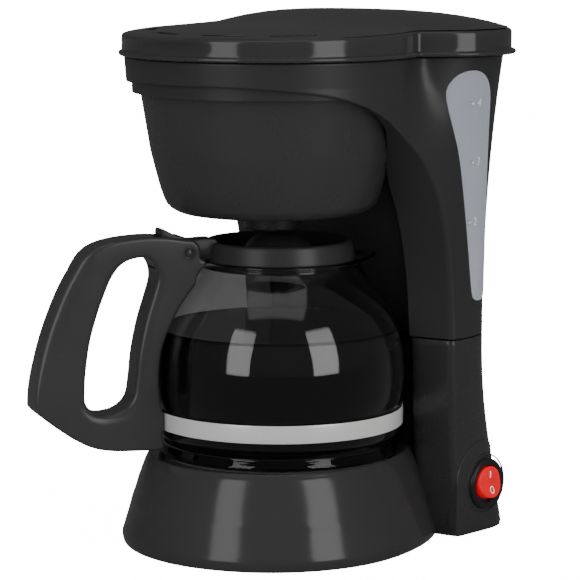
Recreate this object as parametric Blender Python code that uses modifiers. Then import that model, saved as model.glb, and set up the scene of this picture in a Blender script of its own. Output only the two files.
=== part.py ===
"""Compact drip coffee maker, modelled as separate solids.

World frame: metres, +Z up, front towards -Y, origin under the middle of the
whole object on the surface it stands on. Shapes are drawn in millimetres in
the machine's own frame, whose Z axis runs through the middle of the brew
basket, and MACHINE_SHIFT_Y moves that frame to its place in the world.
"""
import math

import bmesh
import bpy

MM = 0.001
GAP = 0.3                    # clearance between neighbouring pieces
MACHINE_SHIFT_Y = -4.7       # from the basket axis to the middle of the depth

# Housing: plan outlines are a round front lobe joined to a superellipse
KEY_CENTRE_Y = 28.0
WALL = 2.5
SEAM_Z = 92.6                # parting line between lower and upper housing
HOUSING_TOP_Z = 220.0
COLLAR_RADIUS = 63.8
COLLAR_TOP_RADIUS = 65.4
COLLAR_Z = 209.5             # lower edge of the collar at the front
REAR_CENTRE_Y = 52.0
REAR_HALF_WIDTH = 64.3
REAR_HALF_DEPTH = 42.0
FLARE_Z = 110.0              # above this the tower widens to the lid
PLAN_POINTS = 42

# Recess under the collar, in which the carafe stands
SWEEP_HANDLES = ((50.0, 93.0), (47.0, 170.0), (20.0, 206.0), (-61.5, COLLAR_Z))
FOOT_FRONT = ((57.0, -6.0), (56.6, 1.5), (52.5, 42.0), (50.0, SEAM_Z))
SWEEP_STEPS = 9
NOSE_X = 45.0
CORNER_X = 64.0
NOSE_SLOPE = 0.3
POCKET_RADIUS = 60.5         # cylinder round the carafe, below the basket
POCKET_TOP_Z = 203.0
POCKET_LEVELS = ((150.0, 4.5, 60.5), (166.0, 2.0, 59.6), (POCKET_TOP_Z, 0.0, 60.2))    # z, centre Y, radius

# Base and hot plate
BASE_PROFILE = ((67.8, 1.5), (64.4, 16.4), (60.2, 30.0), (57.6, 37.3), (55.6, 40.9))
BASE_REAR_STRETCH = 1.33
DECK_Z = 40.9
PLATE_RADIUS = 52.0
CARAFE_Y = 4.5
HEATER_END_Z = 27.8
COVER_Z = 2.2
COVER_THICKNESS = 2.0
BOSS_RADIUS = 4.2
HOUSING_SCREWS = ((-32.0, 86.2), (32.0, 86.2))
COVER_SCREWS = ((-45.2, -37.9), (45.2, -37.9), (-43.0, 90.6), (43.0, 90.6))
FEET = ((-34.0, -44.0), (34.0, -44.0), (-50.0, 74.0), (50.0, 74.0))

# Brew basket
BASKET_PROFILE = ((59.0, 208.0), (54.0, 177.7), (49.0, 159.0), (46.8, 153.0), (43.4, 150.0))
BASKET_FLOOR_Z = 150.0
BASKET_HOLE_RADIUS = 59.6
STUB_RADIUS = 12.3
STUB_Z = 142.8

# Lid
LID_LOBE_RADIUS = 66.5
LID_HALF_WIDTH = 79.4
LID_HALF_DEPTH = 48.5
LID_CENTRE_Y = 60.0
LID_Z = 220.4
LID_RIM_Z = 229.9
LID_CROWN = 7.0
LID_MIDDLE_Y = 56.0
LID_WALL = 2.0
LID_FLANGE = 1.4
HINGE_Y = 107.6
HINGE_Z = 216.4

# Switch on the right side of the tower foot
GLAND = (0.0, 96.6, 12.5)
SWITCH_Y = 74.7
SWITCH_Z = 23.7
SWITCH_FACE_X = 64.1
SWITCH_OPENING = 8.4
ROCKER_TILT = 9.0            # degrees either side of its middle position
PAD_CENTRE_Y = 73.5
PAD_RADIUS = 19.5
PAD_TOP_Z = 46.5

# Carafe, with radii about its own axis
HANDLE_SIDE = (-0.454, -0.891)      # direction from the carafe axis to its handle
GLASS_SIDES = 32
GLASS_WALL = 1.8
GLASS_PROFILE = ((50.0, 41.2), (54.2, 42.6), (52.6, 46.6), (55.4, 51.4),
                 (55.6, 62.8), (57.6, 72.0), (57.2, 86.0),
                 (55.0, 96.4), (51.2, 105.5), (44.9, 114.5), (35.2, 126.0))
MOUTH_RADIUS = 35.4
MOUTH_Z = 127.8
SPOUT_REACH = 10.4
SPOUT_RISE = 5.0
SPOUT_SPREAD = 22.0                 # degrees
BAND_RADIUS = 56.5
BAND_Z = (54.5, 62.5)
CARAFE_PIN_REACH = 44.8
CARAFE_PIN_Z = 133.8
HANDLE_THICKNESS = 17.0

COLOURS = {
    "gloss_black": ((0.012, 0.012, 0.013), 0.25, 0.0),
    "satin_black": ((0.016, 0.016, 0.017), 0.45, 0.0),
    "clear_glass": ((0.86, 0.9, 0.9), 0.05, 0.0),
    "steel": ((0.62, 0.62, 0.6), 0.28, 1.0),
    "gauge_blue": ((0.36, 0.45, 0.5), 0.2, 0.0),
    "tank_plastic": ((0.66, 0.7, 0.72), 0.35, 0.0),
    "switch_red": ((0.78, 0.03, 0.03), 0.3, 0.0),
    "silicone": ((0.78, 0.76, 0.7), 0.6, 0.0),
    "rubber": ((0.03, 0.03, 0.03), 0.8, 0.0),
    "aluminium": ((0.6, 0.61, 0.62), 0.4, 1.0),
    "plate_coating": ((0.05, 0.05, 0.052), 0.35, 0.3),
    "brass": ((0.65, 0.48, 0.2), 0.35, 1.0),
    "mesh_gold": ((0.7, 0.55, 0.28), 0.35, 0.9),
    "wire_sleeve": ((0.7, 0.7, 0.66), 0.7, 0.0),
}


# ---------------------------------------------------------------- scene set-up

# Heights of the housings' rings, and where the water leaves the tank and climbs to the spray head
UPPER_LEVELS = (SEAM_Z, 125.0, 156.0, 182.0, 203.0, HOUSING_TOP_Z)
LOWER_LEVELS = (1.5, 14.0, 34.0, 60.0, SEAM_Z - GAP)
LEVEL_STAGGER = 0.9          # keeps the inner rings off the outer ones' heights
OUTLET = (-20.0, 80.0)
RISER = (12.0, 84.6)


def clear_scene():
    for item in list(bpy.data.objects):
        bpy.data.objects.remove(item, do_unlink=True)


def new_collection(name):
    group = bpy.data.collections.new(name)
    bpy.context.scene.collection.children.link(group)
    return group


def new_empty(name, location, parent=None):
    empty = bpy.data.objects.new(name, None)
    PARTS.objects.link(empty)
    empty.location = [value * MM for value in location]
    empty.parent = parent
    return empty


def material(key):
    existing = bpy.data.materials.get(key)
    if existing:
        return existing
    colour, roughness, metallic = COLOURS[key]
    made = bpy.data.materials.new(key)
    made.use_nodes = True
    shader = made.node_tree.nodes["Principled BSDF"]
    shader.inputs["Base Color"].default_value = (*colour, 1.0)
    shader.inputs["Roughness"].default_value = roughness
    shader.inputs["Metallic"].default_value = metallic
    made.diffuse_color = (*colour, 1.0)
    return made


# ------------------------------------------------------------ object builders

def add_object(name, mesh, look=None):
    """Link a mesh under the machine frame; without a look it is a cutter."""
    item = bpy.data.objects.new(name, mesh)
    item.parent = MACHINE
    if look is None:
        CUTTERS.objects.link(item)
        item.hide_render = True
        item.display_type = "WIRE"
    else:
        PARTS.objects.link(item)
        mesh.materials.append(material(look))
    return item


def place(item, location=(0.0, 0.0, 0.0), rotation=(0.0, 0.0, 0.0)):
    item.location = [value * MM for value in location]
    item.rotation_euler = [math.radians(value) for value in rotation]
    return item


def finish_mesh(mesh, smooth_angle=35.0):
    mesh.shade_smooth()
    mesh.set_sharp_from_angle(angle=math.radians(smooth_angle))


def mesh_from(build, name, smooth_angle=35.0):
    """Run a bmesh builder, face the result outwards and return its mesh."""
    shape = bmesh.new()
    build(shape)
    bmesh.ops.recalc_face_normals(shape, faces=shape.faces)
    mesh = bpy.data.meshes.new(name)
    shape.to_mesh(mesh)
    shape.free()
    finish_mesh(mesh, smooth_angle)
    return mesh


def loft(name, rings, look=None):
    """Closed solid through rings of equal length, with flat end caps."""
    def build(shape):
        rows = [[shape.verts.new([value * MM for value in point]) for point in ring] for ring in rings]
        count = len(rows[0])
        for lower, upper in zip(rows, rows[1:]):
            for index in range(count):
                follow = (index + 1) % count
                shape.faces.new((lower[index], lower[follow], upper[follow], upper[index]))
        shape.faces.new(rows[0][::-1])
        shape.faces.new(rows[-1])
    return add_object(name, mesh_from(build, name), look)


def prism(name, outline, low, high, look=None):
    """Straight extrusion of an XY outline between two heights."""
    rings = [[(x, y, z) for x, y in outline] for z in (low, high)]
    return loft(name, rings, look)


def cylinder(name, radius, low, high, look=None, segments=24):
    def build(shape):
        made = bmesh.ops.create_cone(shape, cap_ends=True, segments=segments, radius1=radius * MM,
                                     radius2=radius * MM, depth=(high - low) * MM)
        bmesh.ops.translate(shape, verts=made["verts"], vec=(0, 0, (low + high) / 2 * MM))
    return add_object(name, mesh_from(build, name), look)


def block(name, low, high, look=None):
    def build(shape):
        made = bmesh.ops.create_cube(shape, size=1.0)
        size = [(b - a) * MM for a, b in zip(low, high)]
        bmesh.ops.scale(shape, verts=made["verts"], vec=size)
        middle = [(a + b) / 2 * MM for a, b in zip(low, high)]
        bmesh.ops.translate(shape, verts=made["verts"], vec=middle)
    return add_object(name, mesh_from(build, name), look)


def turned(name, profile, look=None, steps=48, closed=False):
    """Screw a radius-height profile about Z; it runs down the outer side."""
    mesh = bpy.data.meshes.new(name)
    edges = [(index, index + 1) for index in range(len(profile) - 1)]
    if closed:
        edges.append((len(profile) - 1, 0))
    mesh.from_pydata([(radius * MM, 0, z * MM) for radius, z in profile], edges, [])
    item = add_object(name, mesh, look)
    screw = item.modifiers.new("turn", "SCREW")
    screw.steps = steps
    screw.render_steps = steps
    screw.use_merge_vertices = True
    screw.merge_threshold = 0.00001
    screw.use_smooth_shade = True
    return item


def tube(name, points, radius, look, resolution=2, parent=None):
    """Bevelled poly curve with filled caps."""
    curve = bpy.data.curves.new(name, "CURVE")
    curve.dimensions = "3D"
    curve.bevel_depth = radius * MM
    curve.bevel_resolution = resolution
    curve.use_fill_caps = True
    spline = curve.splines.new("POLY")
    spline.points.add(len(points) - 1)
    for target, point in zip(spline.points, points):
        target.co = (*[value * MM for value in point], 1.0)
    curve.materials.append(material(look))
    item = bpy.data.objects.new(name, curve)
    item.parent = parent or MACHINE
    PARTS.objects.link(item)
    return item


def boolean(target, cutter, operation="DIFFERENCE"):
    step = target.modifiers.new(cutter.name, "BOOLEAN")
    step.operation = operation
    step.solver = "EXACT"
    step.object = cutter
    return target


def bevel(target, width, segments=2, angle=50.0):
    step = target.modifiers.new("edges", "BEVEL")
    step.width = width * MM
    step.segments = segments
    step.limit_method = "ANGLE"
    step.angle_limit = math.radians(angle)
    step.use_clamp_overlap = True
    return target


def ride(item, joint):
    """Parent a piece to its joint empty without moving it."""
    item.parent = joint
    item.location = [own - base for own, base in zip(item.location, joint.location)]
    return item


# --------------------------------------------------------------- plain shapes

def mix(low, high, amount):
    return low + (high - low) * amount


def clamp(value):
    return min(1.0, max(0.0, value))


def bezier(handles, amount):
    weights = ((1 - amount) ** 3, 3 * amount * (1 - amount) ** 2,
               3 * amount ** 2 * (1 - amount), amount ** 3)
    return tuple(sum(weight * point[axis] for weight, point in zip(weights, handles))
                 for axis in range(2))


def smooth_path(points, per_span, closed=False):
    """Catmull-Rom curve through points of any dimension."""
    count = len(points)
    spans = count if closed else count - 1
    path = []
    for span in range(spans):
        picks = [span - 1, span, span + 1, span + 2]
        picks = [pick % count if closed else min(max(pick, 0), count - 1) for pick in picks]
        before, start, end, after = (points[pick] for pick in picks)
        for step in range(per_span):
            t = step / per_span
            path.append(tuple(
                0.5 * (2 * b + (c - a) * t + (2 * a - 5 * b + 4 * c - d) * t * t
                       + (3 * b - a - 3 * c + d) * t ** 3)
                for a, b, c, d in zip(before, start, end, after)))
    if not closed:
        path.append(tuple(points[-1]))
    return path


def circle(radius, centre=(0.0, 0.0), count=24):
    return [(centre[0] + radius * math.cos(math.tau * step / count),
             centre[1] + radius * math.sin(math.tau * step / count)) for step in range(count)]


# ----------------------------------------------------------- housing outlines

def tower_section(z):
    """Half width, half depth, centre and exponent of the tower's outline."""
    rise = clamp((z - FLARE_Z) / (HOUSING_TOP_Z - FLARE_Z))
    drop = clamp((SEAM_Z - z) / SEAM_Z)
    half_width = REAR_HALF_WIDTH + 11.3 * rise ** 2.2 - 0.8 * drop
    half_depth = REAR_HALF_DEPTH + 3.0 * rise + 3.0 * drop ** 1.5
    centre_y = REAR_CENTRE_Y + 8.0 * rise
    exponent = 3.0 - rise + 5.0 * drop ** 2.6
    return half_width, half_depth, centre_y, exponent


def lobe_radius(z):
    return COLLAR_RADIUS + (COLLAR_TOP_RADIUS - COLLAR_RADIUS) * clamp((z - 209.0) / 10.0)


def reach_outline(inside, centre_y, count=PLAN_POINTS):
    """Outline of a star-shaped region, found along rays from (0, centre_y)."""
    outline = []
    for step in range(count):
        angle = math.tau * (step + 0.5) / count
        away = (math.cos(angle), math.sin(angle))
        near, far = 0.0, 160.0
        for _ in range(34):
            middle = (near + far) / 2
            if inside(away[0] * middle, centre_y + away[1] * middle):
                near = middle
            else:
                far = middle
        outline.append((away[0] * near, centre_y + away[1] * near))
    return outline


def in_superellipse(x, y, section, inset=0.0):
    half_width, half_depth, centre_y, exponent = section
    return (abs(x / (half_width - inset)) ** exponent
            + abs((y - centre_y) / (half_depth - inset)) ** exponent) < 1.0


def keyhole(z, inset=0.0):
    """Collar lobe joined with the tower, at one height."""
    section = tower_section(z)
    radius = lobe_radius(z) - inset
    return reach_outline(lambda x, y: math.hypot(x, y) < radius or in_superellipse(x, y, section, inset),
                         KEY_CENTRE_Y)


def tower_outline(z, inset=0.0, count=PLAN_POINTS):
    section = tower_section(z)
    return reach_outline(lambda x, y: in_superellipse(x, y, section, inset), REAR_CENTRE_Y, count)


def level(outline, z):
    return [(x, y, z) for x, y in outline]


def sweep_path(inset):
    """Side view of the recess's back edge, as (y, z) from bottom to top."""
    lower = [(y + inset, z) for y, z in FOOT_FRONT[:-1]]
    curve = [bezier(SWEEP_HANDLES, step / SWEEP_STEPS) for step in range(SWEEP_STEPS + 1)]
    return lower + [(y + inset * 0.8, z + inset * 0.8) for y, z in curve]


def recess_cutter(name, inset):
    """Everything in front of the tower and under the collar."""
    side, front = 100.0, -135.0
    nose_back = NOSE_SLOPE * (CORNER_X - NOSE_X)
    side_back = NOSE_SLOPE * (side - CORNER_X)
    rings = []
    for y, z in sweep_path(inset):
        rings.append([(-side, front, z), (side, front, z), (side, y + side_back, z),
                      (NOSE_X - inset, y - nose_back, z), (-NOSE_X + inset, y - nose_back, z),
                      (-side, y + side_back, z)])
    return loft(name, rings)


def pocket_cutter(name, inset, low, high):
    """Straight round the carafe, then following the basket up to the collar."""
    levels = [(low, CARAFE_Y, POCKET_RADIUS)]
    levels += [entry for entry in POCKET_LEVELS if entry[0] < high]
    levels.append((high, *levels[-1][1:]))
    return loft(name, [level(circle(radius + inset, (0.0, centre), 44), z) for z, centre, radius in levels])


# -------------------------------------------------------------- upper housing


def upper_housing():
    """Collar, tower skin and the deck over the carafe, open above and below."""
    shell = loft("upper_housing", [level(keyhole(z), z) for z in UPPER_LEVELS], "gloss_black")
    boolean(shell, recess_cutter("upper_recess", 0.0))
    boolean(shell, pocket_cutter("upper_pocket", 0.0, SEAM_Z - 5, POCKET_TOP_Z + 0.01))
    middle = tuple(z + LEVEL_STAGGER for z in UPPER_LEVELS[1:-1])
    heights = (SEAM_Z - 2,) + middle + (HOUSING_TOP_Z + 2,)
    cavity = loft("upper_cavity", [level(keyhole(z, WALL), z) for z in heights])
    boolean(cavity, recess_cutter("upper_recess_skin", WALL))
    boolean(cavity, pocket_cutter("upper_pocket_skin", WALL, SEAM_Z - 8, POCKET_TOP_Z + WALL))
    boolean(shell, cavity)
    boolean(shell, cylinder("basket_hole", BASKET_HOLE_RADIUS, 180, 216, segments=40))
    boolean(shell, window_cutter("window_hole", 0.0))
    for index, (x, y) in enumerate(HOUSING_SCREWS):
        boss = place(cylinder(f"upper_boss_{index}", BOSS_RADIUS, SEAM_Z + 0.01, 106, segments=12), (x, y, 0))
        boolean(shell, boss, "UNION")
        hole = place(cylinder(f"upper_boss_hole_{index}", 1.8, 84, 102, segments=10), (x, y, 0))
        boolean(shell, hole)
    for index, side in enumerate((-1, 1)):
        boolean(shell, hinge_ear(f"hinge_ear_{index}", side), "UNION")
    boolean(shell, hinge_bore("ear_bore", 1.6, 60))
    return shell


def hinge_ear(name, side):
    """Ear on the rear wall: a round boss with a web back to the wall."""
    outline = [(101.6, 209.0), (105.5, 212.2)]
    outline += [(HINGE_Y + 3.0 * math.cos(angle), HINGE_Z + 3.0 * math.sin(angle))
                for angle in (math.radians(-60 + 30 * step) for step in range(8))]
    outline += [(101.6, 218.2)]
    inner, outer = 13.0, 20.0
    rings = [[(side * x, y, z) for y, z in outline] for x in (inner, outer)]
    return loft(name, rings)


def hinge_bore(name, radius, length):
    bore = cylinder(name, radius, -length / 2, length / 2, segments=12)
    return place(bore, (0, HINGE_Y, HINGE_Z), (0, 90, 0))


# --------------------------------------------------------------- water window

def window_outline(inset):
    """Teardrop in side view, as (y, z): wide and round on top, slim below."""
    handles = ((77.0, 113.0), (76.6, 135.0), (73.6, 160.0), (69.2, 187.0), (65.0, 204.5), (58.6, 212.0),
               (48.0, 213.4), (41.2, 206.0), (43.2, 192.0), (52.0, 167.0), (59.2, 138.0), (63.6, 113.5),
               (70.0, 108.6))
    path = smooth_path(handles, 3, closed=True)
    return offset_outline(path, -inset)


def offset_outline(path, distance):
    """Shift a closed outline along its own normals."""
    shifted = []
    count = len(path)
    area = sum(path[i][0] * path[(i + 1) % count][1] - path[(i + 1) % count][0] * path[i][1]
               for i in range(count))
    turn = 1.0 if area > 0 else -1.0
    for index, (x, y) in enumerate(path):
        before = path[index - 1]
        after = path[(index + 1) % count]
        dx, dy = after[0] - before[0], after[1] - before[1]
        length = math.hypot(dx, dy)
        shifted.append((x + turn * dy / length * distance, y - turn * dx / length * distance))
    return shifted


def window_cutter(name, inset):
    rings = [[(x, y, z) for y, z in window_outline(inset)] for x in (40.0, 95.0)]
    return loft(name, rings)


def gauge_window():
    """Translucent lens that fills the opening, a little proud of the wall."""
    heights = (90.0, 125.0, 156.0, 182.0, 203.0, 216.0)
    lens = loft("gauge_window", [level(tower_outline(z, -0.5), z) for z in heights], "gauge_blue")
    boolean(lens, loft("gauge_core", [level(tower_outline(z, 2.0), z) for z in (80.0,) + heights + (225.0,)]))
    boolean(lens, window_cutter("gauge_trim", GAP), "INTERSECT")
    return lens


# -------------------------------------------------------------- lower housing


def base_outline(radius, count=PLAN_POINTS):
    outline = []
    for step in range(count):
        angle = math.tau * (step + 0.5) / count
        stretch = BASE_REAR_STRETCH if math.sin(angle) > 0 else 1.0
        outline.append((radius * math.cos(angle), radius * stretch * math.sin(angle)))
    return outline


def lower_housing():
    """Base cone under the carafe joined with the foot of the tower."""
    shell = loft("lower_housing", [level(tower_outline(z), z) for z in LOWER_LEVELS], "gloss_black")
    boolean(shell, recess_cutter("lower_recess", 0.0))
    boolean(shell, pocket_cutter("lower_pocket", 0.0, 30, SEAM_Z + 5))
    boolean(shell, loft("base_cone", [level(base_outline(r), z) for r, z in BASE_PROFILE]), "UNION")
    inner = [level(base_outline(r - WALL), z) for r, z in BASE_PROFILE[:-1]]
    inner = [level(base_outline(BASE_PROFILE[0][0] - WALL), -2.0)] + inner
    inner.append(level(base_outline(BASE_PROFILE[-1][0] - WALL), DECK_Z - WALL))
    boolean(shell, loft("base_cavity", inner))
    heights = (-2.0,) + tuple(z + LEVEL_STAGGER for z in LOWER_LEVELS[1:-1]) + (SEAM_Z + 4,)
    cavity = loft("tower_foot_cavity", [level(tower_outline(z, WALL), z) for z in heights])
    boolean(cavity, recess_cutter("lower_recess_skin", WALL))
    boolean(cavity, pocket_cutter("lower_pocket_skin", WALL, 30 - WALL, SEAM_Z + 8))
    boolean(shell, cavity)
    hole = place(cylinder("plate_hole", PLATE_RADIUS + 0.6, 30, 50, segments=36), (0, CARAFE_Y, 0))
    boolean(shell, hole)
    boolean(shell, switch_pad(), "UNION")
    switch_hole = place(cylinder("switch_hole", 9.8, -9, 9, segments=28), (SWITCH_FACE_X, SWITCH_Y, SWITCH_Z), (0, 90, 0))
    boolean(shell, switch_hole)
    gland_hole = place(cylinder("gland_hole", 4.9, -8, 8, segments=20), GLAND, (90, 0, 0))
    boolean(shell, gland_hole)
    for index, (x, y) in enumerate(COVER_SCREWS):
        boss = place(cylinder(f"cover_boss_{index}", BOSS_RADIUS, 4.6, 20, segments=12), (x, y, 0))
        boolean(shell, boss, "UNION")
        boss_hole = place(cylinder(f"cover_boss_hole_{index}", 1.8, 0, 16, segments=10), (x, y, 0))
        boolean(shell, boss_hole)
    for index, (x, y) in enumerate(HOUSING_SCREWS):
        boss = cylinder(f"lower_boss_{index}", BOSS_RADIUS, 82, SEAM_Z - GAP - 0.01, segments=12)
        boolean(shell, place(boss, (x, y, 0)), "UNION")
        boss_hole = place(cylinder(f"lower_boss_hole_{index}", 1.8, 75, 96, segments=10), (x, y, 0))
        boolean(shell, boss_hole)
    return shell


def switch_pad():
    """Flat arch-shaped land round the switch, standing just proud of the wall."""
    land = (63.9, 44.5, REAR_CENTRE_Y, 9.0)
    outline = reach_outline(lambda x, y: in_superellipse(x, y, land), REAR_CENTRE_Y, 56)
    pad = loft("switch_pad", [level(outline, z) for z in (1.5, PAD_TOP_Z + 4)])
    boolean(pad, loft("switch_pad_core", [level(tower_outline(z, 1.0), z) for z in (-1.0, 14.0, 34.0, 60.0)]))
    arch = [(PAD_CENTRE_Y - PAD_RADIUS, -5.0)]
    arch += [(PAD_CENTRE_Y - PAD_RADIUS * math.cos(math.pi * step / 10),
              PAD_TOP_Z - PAD_RADIUS + PAD_RADIUS * math.sin(math.pi * step / 10)) for step in range(11)]
    arch += [(PAD_CENTRE_Y + PAD_RADIUS, -5.0)]
    return boolean(pad, loft("switch_pad_arch", [[(x, y, z) for y, z in arch] for x in (40, 80)]), "INTERSECT")


def cover_outline(inset):
    def inside(x, y):
        stretch = BASE_REAR_STRETCH if y > 0 else 1.0
        radius = BASE_PROFILE[0][0] - inset
        in_base = math.hypot(x / radius, y / (radius * stretch)) < 1.0
        behind = y > FOOT_FRONT[1][0] + 1.9 * inset + NOSE_SLOPE * (abs(x) - CORNER_X)
        return in_base or (behind and in_superellipse(x, y, tower_section(3.0), inset))
    return reach_outline(inside, 50.0)


def bottom_cover():
    plate = prism("bottom_cover", cover_outline(WALL + 2.2), COVER_Z, COVER_Z + COVER_THICKNESS, "satin_black")
    for index, (x, y) in enumerate(COVER_SCREWS):
        boolean(plate, place(cylinder(f"cover_hole_{index}", 1.9, 0, 8, segments=12), (x, y, 0)))
    for index, (x, y) in enumerate(FEET):
        boolean(plate, place(cylinder(f"foot_hole_{index}", 2.6, 0, 8, segments=12), (x, y, 0)))
    return plate


def feet():
    profile = ((0, 6.6), (2.0, 6.4), (3.4, 4.6), (2.2, 4.6), (2.2, 1.9), (7.0, 1.9), (6.6, 0.0), (0, 0))
    for index, (x, y) in enumerate(FEET):
        place(turned(f"foot_{index + 1}", profile, "rubber", 12), (x, y, 0))


def screw(name, location, head_z, length, flip=False):
    """Pan-head screw; its head is below the shank."""
    profile = ((0, head_z + length), (1.4, head_z + length - 1.2), (1.4, head_z + 1.3),
               (2.6, head_z + 1.3), (2.1, head_z), (0, head_z))
    return place(turned(name, profile, "steel", 8), location)


def fasteners():
    for index, (x, y) in enumerate(COVER_SCREWS):
        screw(f"cover_screw_{index + 1}", (x, y, 0), 0.6, 13.0)
    for index, (x, y) in enumerate(HOUSING_SCREWS):
        screw(f"housing_screw_{index + 1}", (x, y, 0), 80.3, 19.0)


# ---------------------------------------------------- hot plate and heater

def hot_plate():
    """Pressed steel dish with a turned-down edge."""
    radius = PLATE_RADIUS
    profile = ((0, DECK_Z), (radius - 1.2, DECK_Z), (radius, DECK_Z - 1.2), (radius, 36.6), (radius - 1.2, 36.6),
               (radius - 1.2, DECK_Z - 1.2), (0, DECK_Z - 1.2))
    return place(turned("hot_plate", profile, "plate_coating", 32), (0, CARAFE_Y, 0))


def plate_seal():
    radius = PLATE_RADIUS - 1.0
    profile = ((radius + 1.2, 36.2), (radius + 1.2, 34.4), (radius - 2.2, 34.4), (radius - 2.2, 36.2))
    return place(turned("hot_plate_seal", profile, "silicone", 32, closed=True), (0, CARAFE_Y, 0))


def heater():
    """Horseshoe casting under the plate: heating rod and water tube in one."""
    points = []
    for step in range(21):
        angle = math.radians(-240 + step * 15)
        points.append((31.0 * math.cos(angle), CARAFE_Y + 31.0 * math.sin(angle), 33.6))
    first, last = points[0], points[-1]
    ends = ((40.0, 32.4), (47.0, HEATER_END_Z), (52.0, HEATER_END_Z))
    points = [(first[0], y, z) for y, z in reversed(ends)] + points + [(last[0], y, z) for y, z in ends]
    return tube("heater_element", points, 5.2, "aluminium", 2)


def safety_parts():
    body = turned("thermostat", ((0, 38.9), (8.0, 38.9), (8.0, 35.0), (6.0, 34.4), (6.0, 28.1), (0, 28.1)),
                  "brass", 16)
    place(body, (0, CARAFE_Y, 0))
    for index, x in enumerate((-14.0, 14.0)):
        fuse = turned(f"thermal_fuse_{index + 1}", ((0, 11.0), (1.0, 10.6), (2.0, 8.5), (2.0, -8.5),
                                                    (1.0, -10.6), (0, -11.0)), "wire_sleeve", 8)
        place(fuse, (x, CARAFE_Y, 35.6), (90, 0, 0))
    strap = block("heater_clamp", (-35.0, -2.6, 26.3), (35.0, 2.6, 27.7), "steel")
    place(strap, (0, CARAFE_Y, 0))


# ------------------------------------------------------------------ water path

def water_tank():
    """Open-topped tank in the tower, grooved at the back for the riser tube."""
    heights = (95.0, 128.0, 160.0, 188.0, 214.0)
    outer, wall = 3.8, 1.6
    tank = loft("water_tank", [level(tower_outline(z, outer), z) for z in heights], "tank_plastic")
    trim_tank(tank, "tank", outer, 90.0)
    hollow_heights = (95.0 + wall,) + heights[1:-1] + (218.0,)
    hollow = loft("tank_hollow", [level(tower_outline(z, outer + wall), z) for z in hollow_heights])
    trim_tank(hollow, "tank_hollow", outer + wall, 90.0)
    boolean(tank, hollow)
    boolean(tank, place(cylinder("tank_outlet_hole", 2.5, 88, 100, segments=16), (OUTLET[0], OUTLET[1], 0)))
    return tank


def trim_tank(target, name, inset, low):
    boolean(target, recess_cutter(f"{name}_recess", inset))
    pocket = cylinder(f"{name}_pocket", POCKET_RADIUS + inset, low - 5, 230, segments=48)
    place(pocket, (0, CARAFE_Y, 0))
    boolean(target, pocket)
    boolean(target, block(f"{name}_front", (-100, -60, 60), (100, 38.0 + inset, 240)))
    grooves = [(*RISER, 240.0)] + [(x, y, 107.0) for x, y in HOUSING_SCREWS]
    for x, y, top in grooves:
        radius = inset + 1.4
        outline = [(x - radius * math.cos(math.pi * step / 6), y - radius * math.sin(math.pi * step / 6))
                   for step in range(7)]
        outline += [(x + radius, 110.0), (x - radius, 110.0)]
        boolean(target, prism(f"{name}_groove_{int(x)}", outline, low - 5, top + inset))


def check_valve():
    """Cage below the tank's outlet; the ball lifts off its seat when water flows."""
    x, y = OUTLET
    body = turned("check_valve_body", ((2.9, 94.7), (4.8, 94.7), (6.2, 93.0), (6.2, 84.0), (4.2, 82.0),
                                       (4.2, 76.0), (1.8, 76.0), (1.8, 82.6), (4.6, 85.6), (4.6, 92.6),
                                       (2.9, 93.6)), "tank_plastic", 14, closed=True)
    place(body, (x, y, 0))
    ball = turned("check_valve_ball", [(3.0 * math.sin(math.radians(22.5 * step)),
                                        88.2 + 3.0 * math.cos(math.radians(22.5 * step)))
                                       for step in range(9)], "steel", 12)
    place(ball, (x, y, 0))
    return ride(ball, new_empty("check_valve_axis", (x, y, 88.2), MACHINE))


def plumbing():
    """Hoses from the valve to the heater and up to the spray head."""
    left, right, end_z = -15.5, 15.5, HEATER_END_Z
    cold = smooth_path([(*OUTLET, 75.6), (*OUTLET, 64), (-19, 80, 46), (-17, 77, 34), (left, 68, 28.4),
                        (left, 52.6, end_z)], 3)
    tube("cold_hose", cold, 4.4, "silicone", 1)
    hot = smooth_path([(right, 52.6, end_z), (right, 68, 28.4), (right, 77, 34), (14, 82, 48), (*RISER, 64),
                       (*RISER, 74)], 3)
    tube("hot_hose", hot, 4.4, "silicone", 1)
    riser = [(RISER[0], RISER[1], 74.4), (RISER[0], RISER[1], 208)]
    riser += smooth_path([(RISER[0], RISER[1], 214), (RISER[0] - 1, 80, 221.0), (6.0, 70, 223.2),
                          (1.0, 40, 223.2), (0, 10.4, 223.2)], 2)
    tube("riser_tube", riser, 3.2, "tank_plastic", 2)
    turned("spray_head", ((0, 226.4), (8.0, 226.4), (10.0, 224.0), (10.0, 219.6), (19.0, 216.6), (19.0, 215.2),
                          (0, 215.2)), "satin_black", 20)


def hose_clamps():
    """Spring clips round the hose ends."""
    places = ((OUTLET[0], OUTLET[1], 70.5), (RISER[0], RISER[1], 69.5))
    for index, (x, y, z) in enumerate(places):
        clip = turned(f"hose_clamp_{index + 1}", ((6.0, z + 1.6), (6.0, z - 1.6), (5.1, z - 1.6), (5.1, z + 1.6)),
                      "steel", 14, closed=True)
        place(clip, (x, y, 0))


# ---------------------------------------------------------------- brew basket

def basket_housing():
    """Visible cone that carries the filter, with the drip-stop stub below."""
    wall = 2.0
    outer = [(61.0, 214.2), (61.0, 212.4), (59.0, 212.4)] + list(BASKET_PROFILE)
    outer += [(STUB_RADIUS, BASKET_FLOOR_Z), (STUB_RADIUS, STUB_Z),
              (STUB_RADIUS - 1.6, STUB_Z), (STUB_RADIUS - 1.6, BASKET_FLOOR_Z), (3.6, BASKET_FLOOR_Z),
              (3.6, BASKET_FLOOR_Z + wall)]
    inner = [(42.6, BASKET_FLOOR_Z + wall), (46.9, 159.4), (52.0, 178.0), (58.0, 214.2)]
    return turned("basket_housing", outer + inner, "satin_black", 32, closed=True)


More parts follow.
